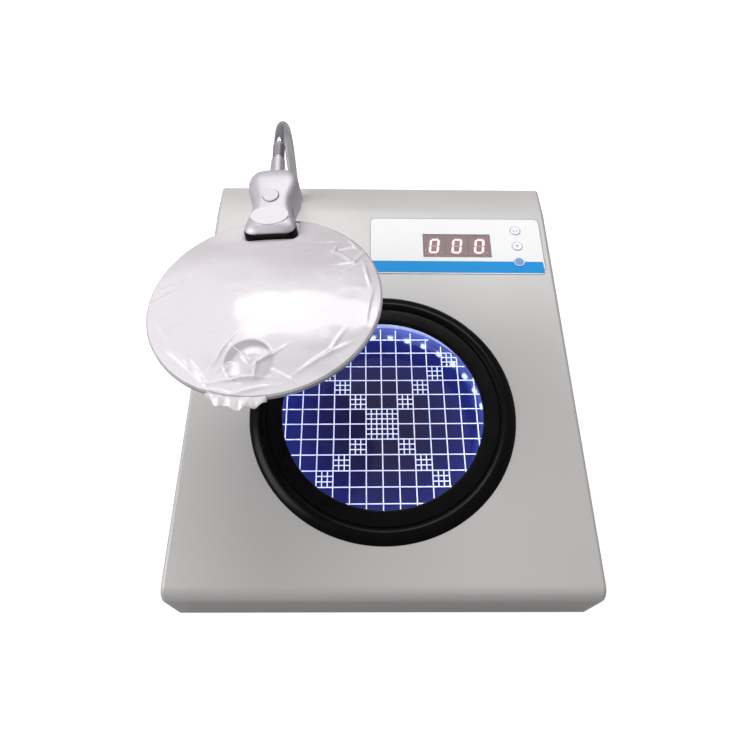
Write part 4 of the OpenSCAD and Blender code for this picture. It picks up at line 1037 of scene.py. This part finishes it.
class COUNTER_OT_stage(bpy.types.Operator):
    """Makes the camera, the floor and the studio light"""
    bl_idname = "counter.stage"
    bl_label = "Stage"

    def execute(self, context):
        scene = context.scene
        self.camera(scene)
        self.card(scene.counter_stage)
        self.studio(scene, scene.counter_stage)
        scene.view_settings.view_transform = "Standard"
        return {"FINISHED"}

    def camera(self, scene):
        """The camera, in front of the object and above it."""
        lens = bpy.data.cameras.new("view")
        lens.sensor_width = CAMERA_SENSOR
        lens.lens = CAMERA_LENS
        lens.clip_start = 10 * MM
        scene.camera = linked("view", lens)
        scene.camera.location = Vector(CAMERA_PLACE) * MM
        scene.camera.rotation_euler = Euler([math.radians(a) for a in CAMERA_TURN])

    def card(self, wanted):
        """A wide sweep of white card: floor in front, rising in a soft curve behind."""
        rows = [(CARD_FRONT, 0.0)]
        rows += [(CARD_BACK + CARD_BEND * math.sin(a), CARD_BEND - CARD_BEND * math.cos(a))
                 for a in [math.pi / 2 * k / 12 for k in range(13)]]
        rows += [(CARD_BACK + CARD_BEND, CARD_TOP)]
        mesh = bpy.data.meshes.new("sweep")
        mesh.from_pydata([(x, y, z) for y, z in rows for x in (-CARD_HALF_W, CARD_HALF_W)], [],
                         [(2 * i, 2 * i + 1, 2 * i + 3, 2 * i + 2) for i in range(len(rows) - 1)])
        for face in mesh.polygons:
            face.use_smooth = True
        # The card shows white to the camera and keeps the object's shadow, and lights nothing
        made, tree, surface = start("white_card", Roughness=0.9)
        surface.inputs["Base Color"].default_value = (*wanted.floor, 1)
        lift = add(tree, "ShaderNodeEmission", {"Color": (1, 1, 1, 1), "Strength": CARD_LIFT})
        dark = add(tree, "ShaderNodeEmission", {"Strength": 0.0})
        pick = add(tree, "ShaderNodeMixShader", {0: seen_by_camera(tree), 1: dark.outputs[0],
                                                 2: lift.outputs[0]})
        both = add(tree, "ShaderNodeAddShader", {0: surface.outputs[0], 1: pick.outputs[0]})
        tree.links.new(both.outputs[0], tree.nodes["Material Output"].inputs["Surface"])
        mesh.materials.append(made)
        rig.stage(linked("sweep", mesh))

    def studio(self, scene, wanted):
        """The pale room round the object and its two softboxes."""
        world = bpy.data.worlds.new("studio")
        scene.world = world
        world.use_nodes = True
        tree = world.node_tree
        sky = tree.nodes["Background"]
        sky.inputs["Color"].default_value = (1, 1, 1, 1)
        # The studio is a little dimmer in front of the object than behind it
        place = add(tree, "ShaderNodeTexCoord").outputs["Generated"]
        way = add(tree, "ShaderNodeSeparateXYZ", {0: place})
        level = add(tree, "ShaderNodeMath", {0: way.outputs["Y"], 1: 0.45 * wanted.sky,
                                             2: wanted.sky}, operation="MULTIPLY_ADD")
        # Past the card's edge the camera sees white
        shown = add(tree, "ShaderNodeMix", {0: seen_by_camera(tree), 2: level.outputs[0], 3: 1.0},
                    data_type="FLOAT")
        tree.links.new(shown.outputs[0], sky.inputs["Strength"])
        for name, setting, place, aim, size in SOFTBOXES:
            light = bpy.data.lights.new(name, "AREA")
            light.shape = "RECTANGLE"
            light.size, light.size_y = size
            light.energy = getattr(wanted, setting)
            lamp = linked(name, light)
            lamp.location = place
            lamp.rotation_euler = (Vector(aim) - Vector(place)).to_track_quat("-Z", "Y").to_euler()


# ---------------------------------------------------------------- operators


class COUNTER_OT_housing(bpy.types.Operator):
    """Finishes the sheet-steel housing, its base plate and its feet"""
    bl_idname = "counter.housing"
    bl_label = "Housing"

    def execute(self, context):
        copy_of("housing_cover", "powder_coated_steel", smooth=30, ridge=True)
        copy_of("base_plate", "zinc_plated_steel")
        copy_of("rear_panel", "powder_coated_steel")
        copy_of("rubber_feet", "nitrile_rubber", smooth=40)
        return {"FINISHED"}


class COUNTER_OT_bezel(bpy.types.Operator):
    """Makes the glossy bezel ring and finishes its gasket"""
    bl_idname = "counter.bezel"
    bl_label = "Bezel"

    def execute(self, context):
        # A crown falls to a fine groove, and a flat band inside it ends in a rounded lip
        groove, lip_r, lip_t, skirt_r, skirt_t = 0.3, 1, 3, 69.7, 2
        recess, recess_in, recess_out = 0.8, 71, 76
        crown = []
        for t in [i / 24 for i in range(25)]:
            crown.append((BEZEL_R - (BEZEL_R - BEZEL_STEP_R - groove) * t,
                          BEZEL_BAND_H * min(1, 1.4 * t)
                          + BEZEL_CROWN * max(0, math.sin(math.pi * t)) ** 0.7))
        step = [(BEZEL_STEP_R, recess), (BEZEL_STEP_R - groove, BEZEL_BAND_H)]
        lip = [(BEZEL_OPEN_R + lip_r + lip_r * math.cos(math.radians(a)),
                BEZEL_BAND_H - lip_r + lip_r * math.sin(math.radians(a)))
               for a in range(90, 181, 15)]
        low, inner = BEZEL_BAND_H - lip_t, skirt_r - skirt_t
        under = [(BEZEL_OPEN_R, low), (inner, low), (inner, -SKIRT_H), (skirt_r, -SKIRT_H),
                 (skirt_r, 0), (recess_in, 0), (recess_in, recess), (recess_out, recess),
                 (recess_out, 0)]
        ring = revolve("bezel", crown + step + lip + under, WELL, "gloss_black_abs", steps=256,
                       smooth=28)
        carry(ring, "instrument", "bezel_plastic", "bezel_ring")
        dress("bezel_gasket", "closed_cell_foam")
        return {"FINISHED"}


class COUNTER_OT_well(bpy.types.Operator):
    """Finishes the light chamber, and makes the lamps and the engraved grid"""
    bl_idname = "counter.well"
    bl_label = "Lit well"

    def execute(self, context):
        wanted = context.scene.counter_well
        copy_of("light_chamber", "white_polystyrene")
        copy_of("light_strip", "white_solder_mask")
        dress("field_sheet", "blue_field_sheet")
        bottom, eased = PLATE_TOP - PLATE_T, PLATE_R - PLATE_EASE
        plate = revolve("grid_plate_polished",
                        [(0, bottom), (eased, bottom), (PLATE_R, bottom + PLATE_EASE),
                         (PLATE_R, PLATE_TOP - PLATE_EASE), (eased, PLATE_TOP), (0, PLATE_TOP)],
                        WELL, "edge_lit_blue_plate", steps=160)
        carry(plate, "instrument", "grid_acrylic", "grid_plate")
        lines = grown("engraved_grid", grid_tree(),
                      {"Pitch": wanted.pitch, "Radius": wanted.reach,
                       "Line Width": wanted.line_width, "Height": 0.06, "Lines": 13},
                      "engraved_line", WELL @ shift(0, 0, PLATE_TOP + PRINT_T) @ turn(0.49, "Z"))
        trim_to_circle(lines, eased)
        carry(lines, "instrument", "grid_acrylic")
        # The ring stands half way down the wall, and its first lamp is a little past the side
        lamp_z, first = -11.5, 4.5
        lamps = grown("well_lamps", lamp_ring_tree(),
                      {"Count": wanted.lamps, "Radius": 68.3, "Width": 3.5, "Height": 2.8,
                       "Depth": 1.6}, "lit_lamp", WELL @ shift(0, 0, lamp_z) @ turn(first, "Z"))
        carry(lamps, "instrument", "lamp_resin", "strip_lamps")
        return {"FINISHED"}


def trim_to_circle(piece, radius):
    """Takes away what lies past a circle about the well's axis."""
    inward = into(WELL)
    outward = inward.inverted()
    with edited(piece.data) as work:
        past = {v for v in work.verts if (inward @ v.co).xy.length > radius}
        gone = [f for f in work.faces if all(v in past for v in f.verts)]
        for v in past:
            local = inward @ v.co
            local.xy = local.xy.normalized() * radius
            v.co = outward @ local
        bmesh.ops.delete(work, geom=gone, context="FACES")


class COUNTER_OT_panel(bpy.types.Operator):
    """Makes the membrane panel, its print, a painted shade line round its edge, the display and the keys"""
    bl_idname = "counter.panel"
    bl_label = "Control panel"

    def execute(self, context):
        copy_of("display_overlay", "membrane_polyester")
        w, d, t = PANEL_W, PANEL_D, PANEL_T
        left, right, low, edge, high = -w / 2, w / 2, -d / 2, 0.7, 10.1
        # Blue stripe along the lower edge: square at its left end and eased at its right
        stripe = [(left + edge, low + edge), (right - 1.4, low + edge), (right - 1.1, low + 4),
                  (right - 1.4, low + 9.4), (right - 2.2, low + high), (left + edge, low + high)]
        carry(stripe_round_key(stripe, key_local(0), 4.0), "instrument", "membrane")
        # A pale grey line round the panel's edge is painted shade
        outline = band("panel_outline", rounded(w - 0.1, d - 1.1, 3.9),
                       rounded(w - 1.2, d - 2.2, 3.4), t, t + 0.03, PANEL @ shift(0, 0.5, 0),
                       "print_grey")
        carry(outline, "instrument", "membrane")
        dress("display_window", "window_film")
        dress("digit_modules", "grey_digit_face")
        dress("outer_segments", "lit_segment")
        dress("centre_segments", "unlit_segment")
        self.halos()
        self.keys()
        return {"FINISHED"}

    def halos(self):
        """Painted glow of the red spill round each lit digit, and a faint dot at its foot that takes the same glow."""
        slant = math.tan(math.radians(DIGIT_SLANT))
        low, high = -0.015, 0.0
        for n in range(3):
            place = DISPLAY @ shift((n - 1) * DIGIT_PITCH, 0, 0)
            # Each halo band is a painted glow, a faint red sheet round the digit
            for side, outer, inner in (("outer", (7.8, 13.4, 2.0), (6.5, 12.1, 1.2)),
                                       ("inner", (4.3, 9.9, 0.7), (3.3, 8.9, 0.3))):
                lines = [[(x + y * slant, y) for x, y in rounded(*size, 6)]
                         for size in (outer, inner)]
                carry(band(f"digit_{side}_halo_{n + 1}", *lines, low, high, place, "halo_red"),
                      "instrument", "lit_segment")
            dots = circle(0.55, 20, -6.0, -6.4)
            carry(plate_of(f"digit_mark_{n + 1}", dots, low, high, place, "halo_red"),
                  "instrument", "unlit_segment")

    def keys(self):
        """The three keys with their printed rings and signs."""
        for n, node in enumerate(("lower_key", "middle_key", "upper_key")):
            blue = n == 0
            slot = "blue_key_plastic" if blue else "key_plastic"
            copy_of(node, "blue_key_cap" if blue else "white_key_cap", smooth=35)
            ring = band(node + "_ring", circle(3.55, 72), circle(3.15, 72), KEY_TOP,
                        KEY_TOP + PRINT_T, KEYS[n], "white_key_cap" if blue else "print_key_blue")
            carry(ring, node + "_body", slot)
            sign = plate_of(node + "_sign", self.sign(n), KEY_TOP, KEY_TOP + PRINT_T, KEYS[n],
                            "print_key_blue")
            carry(sign, node + "_body", slot)
            if blue:
                edge = band(node + "_surround", circle(4.08, 72), circle(3.78, 72), PANEL_T,
                            PANEL_T + 2 * PRINT_T, KEYS[n], "membrane_polyester")
                carry(edge, "instrument", "membrane")

    def sign(self, n):
        """The outline of a key's sign: from the lowest, a bar, a down arrow and an open ring."""
        if n == 0:
            return rounded(3.6, 0.9, 0.4, 4)
        if n == 1:
            return [(-1.5, 0.9), (-0.9, 1.2), (0, 0.1), (0.9, 1.2), (1.5, 0.9), (0, -1.1)]
        sweep = [math.radians(a) for a in range(120, 421, 15)]
        line = [(1.5 * math.cos(a), 1.5 * math.sin(a)) for a in sweep]
        return line + [(1.05 * math.cos(a), 1.05 * math.sin(a)) for a in reversed(sweep)]


def key_local(n):
    """A key's centre in the panel's own frame."""
    return PANEL.inverted() @ (KEYS[n] @ Vector((0, 0, 0)))


def stripe_round_key(outline, key, radius):
    """The stripe, with the bite that its key's pale surround takes out of its upper edge."""
    top = max(y for x, y in outline)
    line = outline[:5]
    dy = top - key.y
    if abs(dy) < radius:
        dx = math.sqrt(radius * radius - dy * dy)
        a0, a1 = math.atan2(dy, dx), math.atan2(dy, -dx) - 2 * math.pi
        line += [(key.x + radius * math.cos(a0 + (a1 - a0) * k / 30),
                  key.y + radius * math.sin(a0 + (a1 - a0) * k / 30)) for k in range(31)]
    line += outline[5:]
    work = bmesh.new()
    face = work.faces.new([work.verts.new(PANEL @ Vector((x, y, PANEL_T + 0.045)) * MM)
                           for x, y in line])
    bmesh.ops.triangulate(work, faces=[face])
    bmesh.ops.recalc_face_normals(work, faces=work.faces)
    up = PANEL.to_3x3() @ Vector((0, 0, 1))
    if work.faces[:][0].normal.dot(up) < 0:
        bmesh.ops.reverse_faces(work, faces=work.faces)
    mesh = bpy.data.meshes.new("panel_stripe")
    work.to_mesh(mesh)
    work.free()
    mesh.materials.append(finish_of("print_blue"))
    return linked("panel_stripe", mesh)


class COUNTER_OT_gooseneck(bpy.types.Operator):
    """Makes the chromed gooseneck as one bending tube, with its bush, collar and socket"""
    bl_idname = "counter.gooseneck"
    bl_label = "Gooseneck"

    def execute(self, context):
        sides, winding, groove, ease = 28, 0.75, 0.05, 14
        path = [(0, 0, z) for z in (-8, 0, 6, 12, 18, 24, 30, 34)]
        for k in range(41):
            a = math.radians((90 + ARCH_OVER) * k / 40)
            path.append((0, -ARCH_R + ARCH_R * math.cos(a), STEM_H + ARCH_R * math.sin(a)))
        points, n = [], sides
        fine = resample([Vector(p) for p in path], winding)
        for i, p in enumerate(fine):
            ahead = (fine[min(i + 1, len(fine) - 1)] - fine[max(i - 1, 0)]).normalized()
            side = Vector((1, 0, 0))
            up = side.cross(ahead)
            # The tube is wound from strip: a shallow groove at every other ring
            r = NECK_R - (groove if i % 2 else 0.0)
            for a in [2 * math.pi * k / n for k in range(n)]:
                points.append(p + side * r * math.cos(a) + up * r * math.sin(a))
        rings = len(fine)
        faces = [(i * n + k, i * n + (k + 1) % n, (i + 1) * n + (k + 1) % n, (i + 1) * n + k)
                 for i in range(rings - 1) for k in range(n)]
        faces += [tuple(range(n)), tuple((rings - 1) * n + k for k in range(n))]
        tube = new_piece("gooseneck_tube", points, faces, NECK, "chrome_plate", smooth=50)
        low = NECK @ Vector((0, 0, STEM_H - ease)) * MM
        high = NECK @ Vector((0, 0, STEM_H + ease)) * MM
        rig.blend(tube, "gooseneck_lower", "gooseneck_upper", start=low, end=high)
        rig.slot(tube, "chrome_steel")
        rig.replaces(tube, "gooseneck_stem", "gooseneck_arch")
        # A ball closes the tube's end inside the collar
        ball_r = 2.92
        ball = [(ball_r * math.cos(math.radians(a)), ball_r * math.sin(math.radians(a)))
                for a in range(-80, 81, 8)]
        tip = revolve("gooseneck_tip", [(0.0, -2.9)] + ball + [(0.0, 2.9)], HEAD, "chrome_plate",
                      steps=40, smooth=60)
        carry(tip, "gooseneck_upper", "chrome_steel")
        copy_of("gooseneck_bush", "chrome_plate")
        copy_of("ribbed_collar", "ribbed_aluminium")
        copy_of("neck_socket", "satin_aluminium")
        return {"FINISHED"}


def resample(path, step):
    """Points about step apart along a path."""
    out, left = [path[0]], 0.0
    for a, b in zip(path, path[1:]):
        count = max(1, round((b - a).length / step))
        out += [a.lerp(b, (k + 1) / count) for k in range(count)]
    return out


class COUNTER_OT_hub(bpy.types.Operator):
    """Finishes the magnifier's hub, its clamp, inlay, button, lamps and battery door"""
    bl_idname = "counter.hub"
    bl_label = "Hub"

    def execute(self, context):
        for node, finish in (
                ("hub_top_shell", "silver_painted_abs"), ("hub_bottom_shell", "silver_painted_abs"),
                ("battery_door", "silver_painted_abs"), ("lens_clamp", "gloss_black_abs"),
                ("oval_inlay", "white_acrylic"), ("lamp_button", "silver_painted_abs"),
                ("magnifier_lamps", "lamp_epoxy")):
            copy_of(node, finish, smooth=38)
        for node, finish in (
                ("hub_screws", "bright_zinc_screw"), ("lamp_board", "glass_fibre_board"),
                ("lamp_switch", "moulded_phenolic"), ("button_cells", "bright_zinc_screw")):
            dress(node, finish)
        return {"FINISHED"}


def lens_height(x, y, spot=True):
    """Height of the lens's upper face above its middle plane."""
    half = math.asin(LENS_R / LENS_CURVE)
    base = math.sqrt(LENS_CURVE ** 2 - x * x - y * y) - LENS_CURVE * math.cos(half) + LENS_EDGE / 2
    r = math.hypot(x - SPOT_X, y - SPOT_Y)
    if spot and r < SPOT_R:
        curve = (SPOT_R ** 2 + SPOT_H ** 2) / (2 * SPOT_H)
        base += math.sqrt(curve * curve - r * r) - curve + SPOT_H
    return base


def polar_grid(reach, rings, steps):
    """Points on circles about the lens's axis and the faces between them."""
    points = [(reach * i / rings * math.cos(2 * math.pi * k / steps),
               reach * i / rings * math.sin(2 * math.pi * k / steps))
              for i in range(rings + 1) for k in range(steps)]
    faces = [(i * steps + k, i * steps + (k + 1) % steps, (i + 1) * steps + (k + 1) % steps,
              (i + 1) * steps + k) for i in range(rings) for k in range(steps)]
    return points, faces


# Ridges in the film: centre, direction in degrees, half length, half width and height, in mm, and
# how much they bow
BEND = 0.004
FOLDS = ((38, 30, 25, 9, 0.7, 0.5), (36, 24, -35, 6, 0.6, 0.5), (44, 22, 60, 8, 0.7, 0.5),
         (31, 35, 8, 8, 0.6, 0.35), (41, 34, -60, 5, 0.6, 0.4), (48, 12, 100, 7, 0.8, 0.4),
         (33, 28, 75, 5, 0.6, 0.4), (40, 19, 15, 6, 0.6, 0.4),
         (-47, 9, 12, 9, 0.7, 0.5), (-48, 3, 28, 8, 0.6, 0.5), (-45, -7, -20, 6, 0.7, 0.35),
         (-15, -33, 62, 8, 0.7, 0.5), (-6, -36, -48, 7, 0.7, 0.55), (-10, -47, 4, 14, 0.7, 0.55),
         (-24, -43, -55, 8, 0.8, 0.5), (5, -38, 40, 7, 0.6, 0.5), (-18, -51, -12, 8, 0.8, 0.5),
         (-2, -52, 12, 8, 0.7, 0.5), (12, -46, -30, 8, 0.7, 0.45), (1, -43, 80, 5, 0.6, 0.5),
         (-11, -40, 20, 6, 0.6, 0.5), (27, -38, 35, 12, 1.0, 0.35), (-36, -33, -42, 12, 0.9, 0.4),
         (-44, -20, 120, 8, 0.9, 0.3), (49, -8, 80, 10, 0.8, 0.3), (34, -30, 62, 7, 0.8, 0.3))


def inside_jaw(x, y):
    """How far a place on the lens lies inside the jaw's outline, in mm; below zero outside."""
    run = y - JAW_Y
    if run <= 0:
        return run
    nose = math.sqrt(1 - (1 - min(run / JAW_NOSE, 1)) ** 2)
    half = JAW_W / 2 * (JAW_TIP + (1 - JAW_TIP) * nose) + JAW_GAP
    return min(run, half - abs(x))


def out_of_jaw(x, y):
    """The same place, or the nearest one on the jaw's outline if it lies inside."""
    depth = inside_jaw(x, y)
    if depth <= 0:
        return x, y
    if depth == y - JAW_Y:
        return x, JAW_Y
    return x + math.copysign(depth, x), y


class COUNTER_OT_lens(bpy.types.Operator):
    """Finishes the lens and makes its crumpled protective film"""
    bl_idname = "counter.lens"
    bl_label = "Lens and film"

    def execute(self, context):
        wanted = context.scene.counter_magnifier
        self.lens()
        points, faces = polar_grid(wanted.film_reach, 120, 330)
        # The film is cut round the jaw: faces inside go, and points left inside move to the edge
        faces = [f for f in faces if min(inside_jaw(*points[v]) for v in f) <= 0]
        points = [out_of_jaw(x, y) for x, y in points]
        points = [(x, y, lens_height(x, y) + wanted.lift + self.fold(x, y) * wanted.crumple)
                  for x, y in points]
        film = thicken(new_piece("crumpled_film", points, faces, LENS, "polyethylene_film",
                                 smooth=80))
        carry(film, "magnifier", "film_polyethylene", "lens_film")
        carry(self.flap(wanted.film_reach), "magnifier", "film_polyethylene")
        # The white lines on the folds are painted highlights
        carry(self.creases(wanted.lift, wanted.crumple), "magnifier", "film_polyethylene")
        return {"FINISHED"}

    def lens(self):
        """The lens: two shallow domes, and the small strong lens on the upper one."""
        rings, steps, rim_w = 90, 180, 0.7
        spots, tops = polar_grid(LENS_R, rings, steps)
        n = len(spots)
        points = [(x, y, lens_height(x, y)) for x, y in spots]
        points += [(x, y, -lens_height(x, y, False)) for x, y in spots]
        faces = tops + [tuple(n + v for v in reversed(face)) for face in tops]
        rim = rings * steps
        faces += [(rim + k, n + rim + k, n + rim + (k + 1) % steps, rim + (k + 1) % steps)
                  for k in range(steps)]
        lens = new_piece("polished_lens", points, faces, LENS, "polished_acrylic", smooth=30)
        lens.data.materials.append(finish_of("ground_acrylic"))
        axis = into(LENS)
        for face in lens.data.polygons:
            if (axis @ face.center).xy.length > LENS_R - rim_w:
                face.material_index = 1
        carry(lens, "magnifier", "lens_acrylic", "magnifier_lens")

    def creases(self, lift, crumple):
        """White lines along the sharpest folds: painted highlights."""
        points, faces = [], []
        for x0, y0, angle, reach, width, height in FOLDS:
            c, s = math.cos(math.radians(angle)), math.sin(math.radians(angle))
            for side, share, wide in ((0.0, 0.9, 0.26), (0.9, 0.55, 0.16)):
                base, count = len(points), 24
                for i in range(count + 1):
                    u = reach * share * (i / count * 2 - 1) + 0.6 * side
                    half = wide * height * math.sqrt(max(0.0, 1 - (i / count * 2 - 1) ** 2)) + 0.02
                    v = -BEND * u * u + side + 0.5 * noise.noise(Vector((u * 0.25, x0, y0)))
                    for edge in (-half, half):
                        x, y = x0 + u * c - (v + edge) * s, y0 + u * s + (v + edge) * c
                        points.append((x, y, lens_height(x, y) + lift + 0.1
                                       + self.fold(x, y) * crumple))
                faces += [(base + 2 * i, base + 2 * i + 2, base + 2 * i + 3, base + 2 * i + 1)
                          for i in range(count)]
        inside = [math.hypot(x, y) < LENS_R - 0.8 and inside_jaw(x, y) < -1 for x, y, z in points]
        faces = [f for f in faces if all(inside[v] for v in f)]
        return new_piece("film_creases", points, faces, LENS, "creased_polyethylene", smooth=80)

    def flap(self, reach):
        """A loose tongue of film that hangs over the rim, opposite the hub."""
        across, out = 54, 12
        points = []
        for j in range(out + 1):
            v = j / out
            for i in range(across + 1):
                u = i / across * 2 - 1
                a = math.radians(-98 + 14 * u)
                long = 5.2 * (1 - 0.55 * u ** 4) * (1 + 0.5 * noise.noise(Vector((3 * u, 5.2, 0))))
                r = reach - 0.6 + long * v
                wave = v * (1.1 * noise.noise(Vector((4 * u, v, 9.1)))
                            + 0.5 * noise.noise(Vector((11 * u, 2 * v, 4.4))))
                points.append((r * math.cos(a), r * math.sin(a), 1.25 - 1.6 * v * v + wave))
        n = across + 1
        faces = [(j * n + i, j * n + i + 1, (j + 1) * n + i + 1, (j + 1) * n + i)
                 for j in range(out) for i in range(across)]
        return thicken(new_piece("film_flap", points, faces, LENS, "polyethylene_film", smooth=80))

    def fold(self, x, y):
        """Height of the film's folds, in mm: long ridges near the rim and a few low swells."""
        r = math.hypot(x, y) / LENS_R
        ridge = 0.0
        for x0, y0, angle, reach, width, height in FOLDS:
            c, s = math.cos(math.radians(angle)), math.sin(math.radians(angle))
            u, v = (x - x0) * c + (y - y0) * s, -(x - x0) * s + (y - y0) * c
            v += BEND * u * u
            ridge += height * math.exp(-(u / reach) ** 2) * math.exp(-(v / width) ** 2)
        swell = 0.25 * noise.noise(Vector((x * 0.05, y * 0.05, 3.1)))
        swell += 0.08 * noise.noise(Vector((x * 0.16, y * 0.16, 7.7)))
        return max(0.0, ridge + (swell + 0.15) * (0.35 + 0.65 * r * r))


class COUNTER_OT_rear(bpy.types.Operator):
    """Finishes the inlet, the switch and the jack at the back"""
    bl_idname = "counter.rear"
    bl_label = "Rear panel"

    def execute(self, context):
        copy_of("power_inlet", "matt_black_nylon")
        copy_of("switch_frame", "matt_black_nylon")
        copy_of("power_rocker", "matt_black_nylon", smooth=20)
        copy_of("pen_jack", "nickel_plated_brass")
        copy_of("jack_nut", "nickel_plated_brass", smooth=20)
        dress("inlet_pins", "nickel_plated_brass")
        # The rocker's signs, a stroke for on and a ring for off, lie on its two slopes
        rest, crest, rise, run = -10, 4.4, 1.02, 6.93
        pivot = REAR @ shift(INLET_X - ROCKER_STEP, 0, -4) @ turn(rest, "X")
        lean = math.degrees(math.atan2(rise, run))
        for y in (-3.6, 3.6):
            place = (pivot @ shift(0, y, crest + abs(y) * rise / run)
                     @ turn(math.copysign(lean, y), "X"))
            if y < 0:
                piece = plate_of("rocker_on_stroke", rounded(0.7, 3.0, 0.3, 4), 0.0, 0.03, place,
                                 "white_acrylic")
            else:
                piece = band("rocker_off_ring", circle(1.45, 40), circle(0.95, 40), 0.0, 0.03,
                             place, "white_acrylic")
            carry(piece, "rocker_body", "inlet_plastic")
        return {"FINISHED"}


class COUNTER_OT_screws(bpy.types.Operator):
    """Makes the cross-head screws of the base, the feet, the rear panel and the inlet"""
    bl_idname = "counter.screws"
    bl_label = "Screws"

    def execute(self, context):
        foot_inset, tab_step, tab_x = 24, 26, 107.5
        foot_x = HOUSING_W / 2 - foot_inset
        tab_y = foot_inset + tab_step
        feet = [(x, y, 0) for x in (-foot_x, foot_x) for y in (foot_inset, HOUSING_D - foot_inset)]
        tabs = [(x, y, 0) for x in (-tab_x, tab_x)
                for y in (tab_y, HOUSING_D / 2, HOUSING_D - tab_y)]
        rear_x, rear_y = REAR_W / 2 - REAR_INSET, REAR_HGT / 2 - REAR_INSET
        corners = [(x, y, 0) for x in (-rear_x, rear_x) for y in (-rear_y, rear_y)]
        pair = [(x, 0, 0) for x in (-INLET_PITCH / 2, INLET_PITCH / 2)]
        # Each set: its name, its places, the face under its heads, shank radius and length, node
        groups = (
            ("foot_screw_set", feet, BODY @ shift(0, 0, -2.4), 2.0, 8.9, "foot_screws"),
            ("base_screw_set", tabs, BODY, 1.5, 5.5, "base_screws"),
            ("rear_screw_set", corners, REAR @ turn(180, "X"), 1.5, 5.0, "rear_screws"),
            ("inlet_screw_set", pair, REAR @ shift(INLET_X, 0, INLET_LIP) @ turn(180, "X"), 1.5,
             6.8, "inlet_screws"))
        tree = screw_tree()
        for n, (name, spots, place, radius, length, node) in enumerate(groups):
            piece = grown(name, tree, {"Shank Radius": radius, "Shank Length": length,
                                       "Turn": 0.4 + 0.5 * n}, "bright_zinc_screw", place, spots)
            with edited(piece.data) as work:
                soften(work, 35)
            carry(piece, "instrument", "screw_steel", node)
        return {"FINISHED"}


class COUNTER_OT_inside(bpy.types.Operator):
    """Finishes what is closed in: boards, nuts, cable and power module"""
    bl_idname = "counter.inside"
    bl_label = "Inside"

    def execute(self, context):
        for node, finish in (
                ("control_board", "glass_fibre_board"), ("power_board", "glass_fibre_board"),
                ("board_screws", "bright_zinc_screw"), ("board_spacers", "bright_zinc_screw"),
                ("foot_nuts", "bright_zinc_screw"), ("chamber_nuts", "bright_zinc_screw"),
                ("gooseneck_washer", "bright_zinc_screw"), ("gooseneck_nut", "bright_zinc_screw"),
                ("key_switches", "moulded_phenolic"), ("controller_chip", "moulded_phenolic"),
                ("power_module", "moulded_phenolic"), ("ribbon_cable", "ribbon_vinyl")):
            dress(node, finish)
        return {"FINISHED"}


OPERATORS = (COUNTER_OT_stage, COUNTER_OT_housing, COUNTER_OT_bezel, COUNTER_OT_well,
             COUNTER_OT_panel, COUNTER_OT_gooseneck, COUNTER_OT_hub, COUNTER_OT_lens,
             COUNTER_OT_rear, COUNTER_OT_screws, COUNTER_OT_inside)


class COUNTER_PT_panel(bpy.types.Panel):
    """Lists the pieces that can be made"""
    bl_idname = "COUNTER_PT_panel"
    bl_label = "Colony counter"
    bl_space_type = "VIEW_3D"
    bl_region_type = "UI"
    bl_category = "Colony counter"

    def draw(self, context):
        for group in (context.scene.counter_well, context.scene.counter_magnifier,
                      context.scene.counter_stage):
            box = self.layout.box()
            for key in group.bl_rna.properties.keys():
                if key not in ("rna_type", "name"):
                    box.prop(group, key)
        for operator in OPERATORS:
            self.layout.operator(operator.bl_idname)


SETTINGS = (("counter_well", WellSettings), ("counter_magnifier", MagnifierSettings),
            ("counter_stage", StageSettings))


def register():
    for name, group in SETTINGS:
        bpy.utils.register_class(group)
        setattr(bpy.types.Scene, name, PointerProperty(type=group))
    for operator in OPERATORS:
        bpy.utils.register_class(operator)
    bpy.utils.register_class(COUNTER_PT_panel)


def unregister():
    bpy.utils.unregister_class(COUNTER_PT_panel)
    for operator in reversed(OPERATORS):
        bpy.utils.unregister_class(operator)
    for name, group in reversed(SETTINGS):
        delattr(bpy.types.Scene, name)
        bpy.utils.unregister_class(group)


def main():
    register()
    for operator in OPERATORS:
        group, name = operator.bl_idname.split(".")
        getattr(getattr(bpy.ops, group), name)()
    sizes = {"cad": [list(corner) for corner in CAD_BOX],
             "visual": [list(corner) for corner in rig.bounds()]}
    with open("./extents.json", "w") as out:
        json.dump(sizes, out, indent=1)


if __name__ == "__main__":
    main()
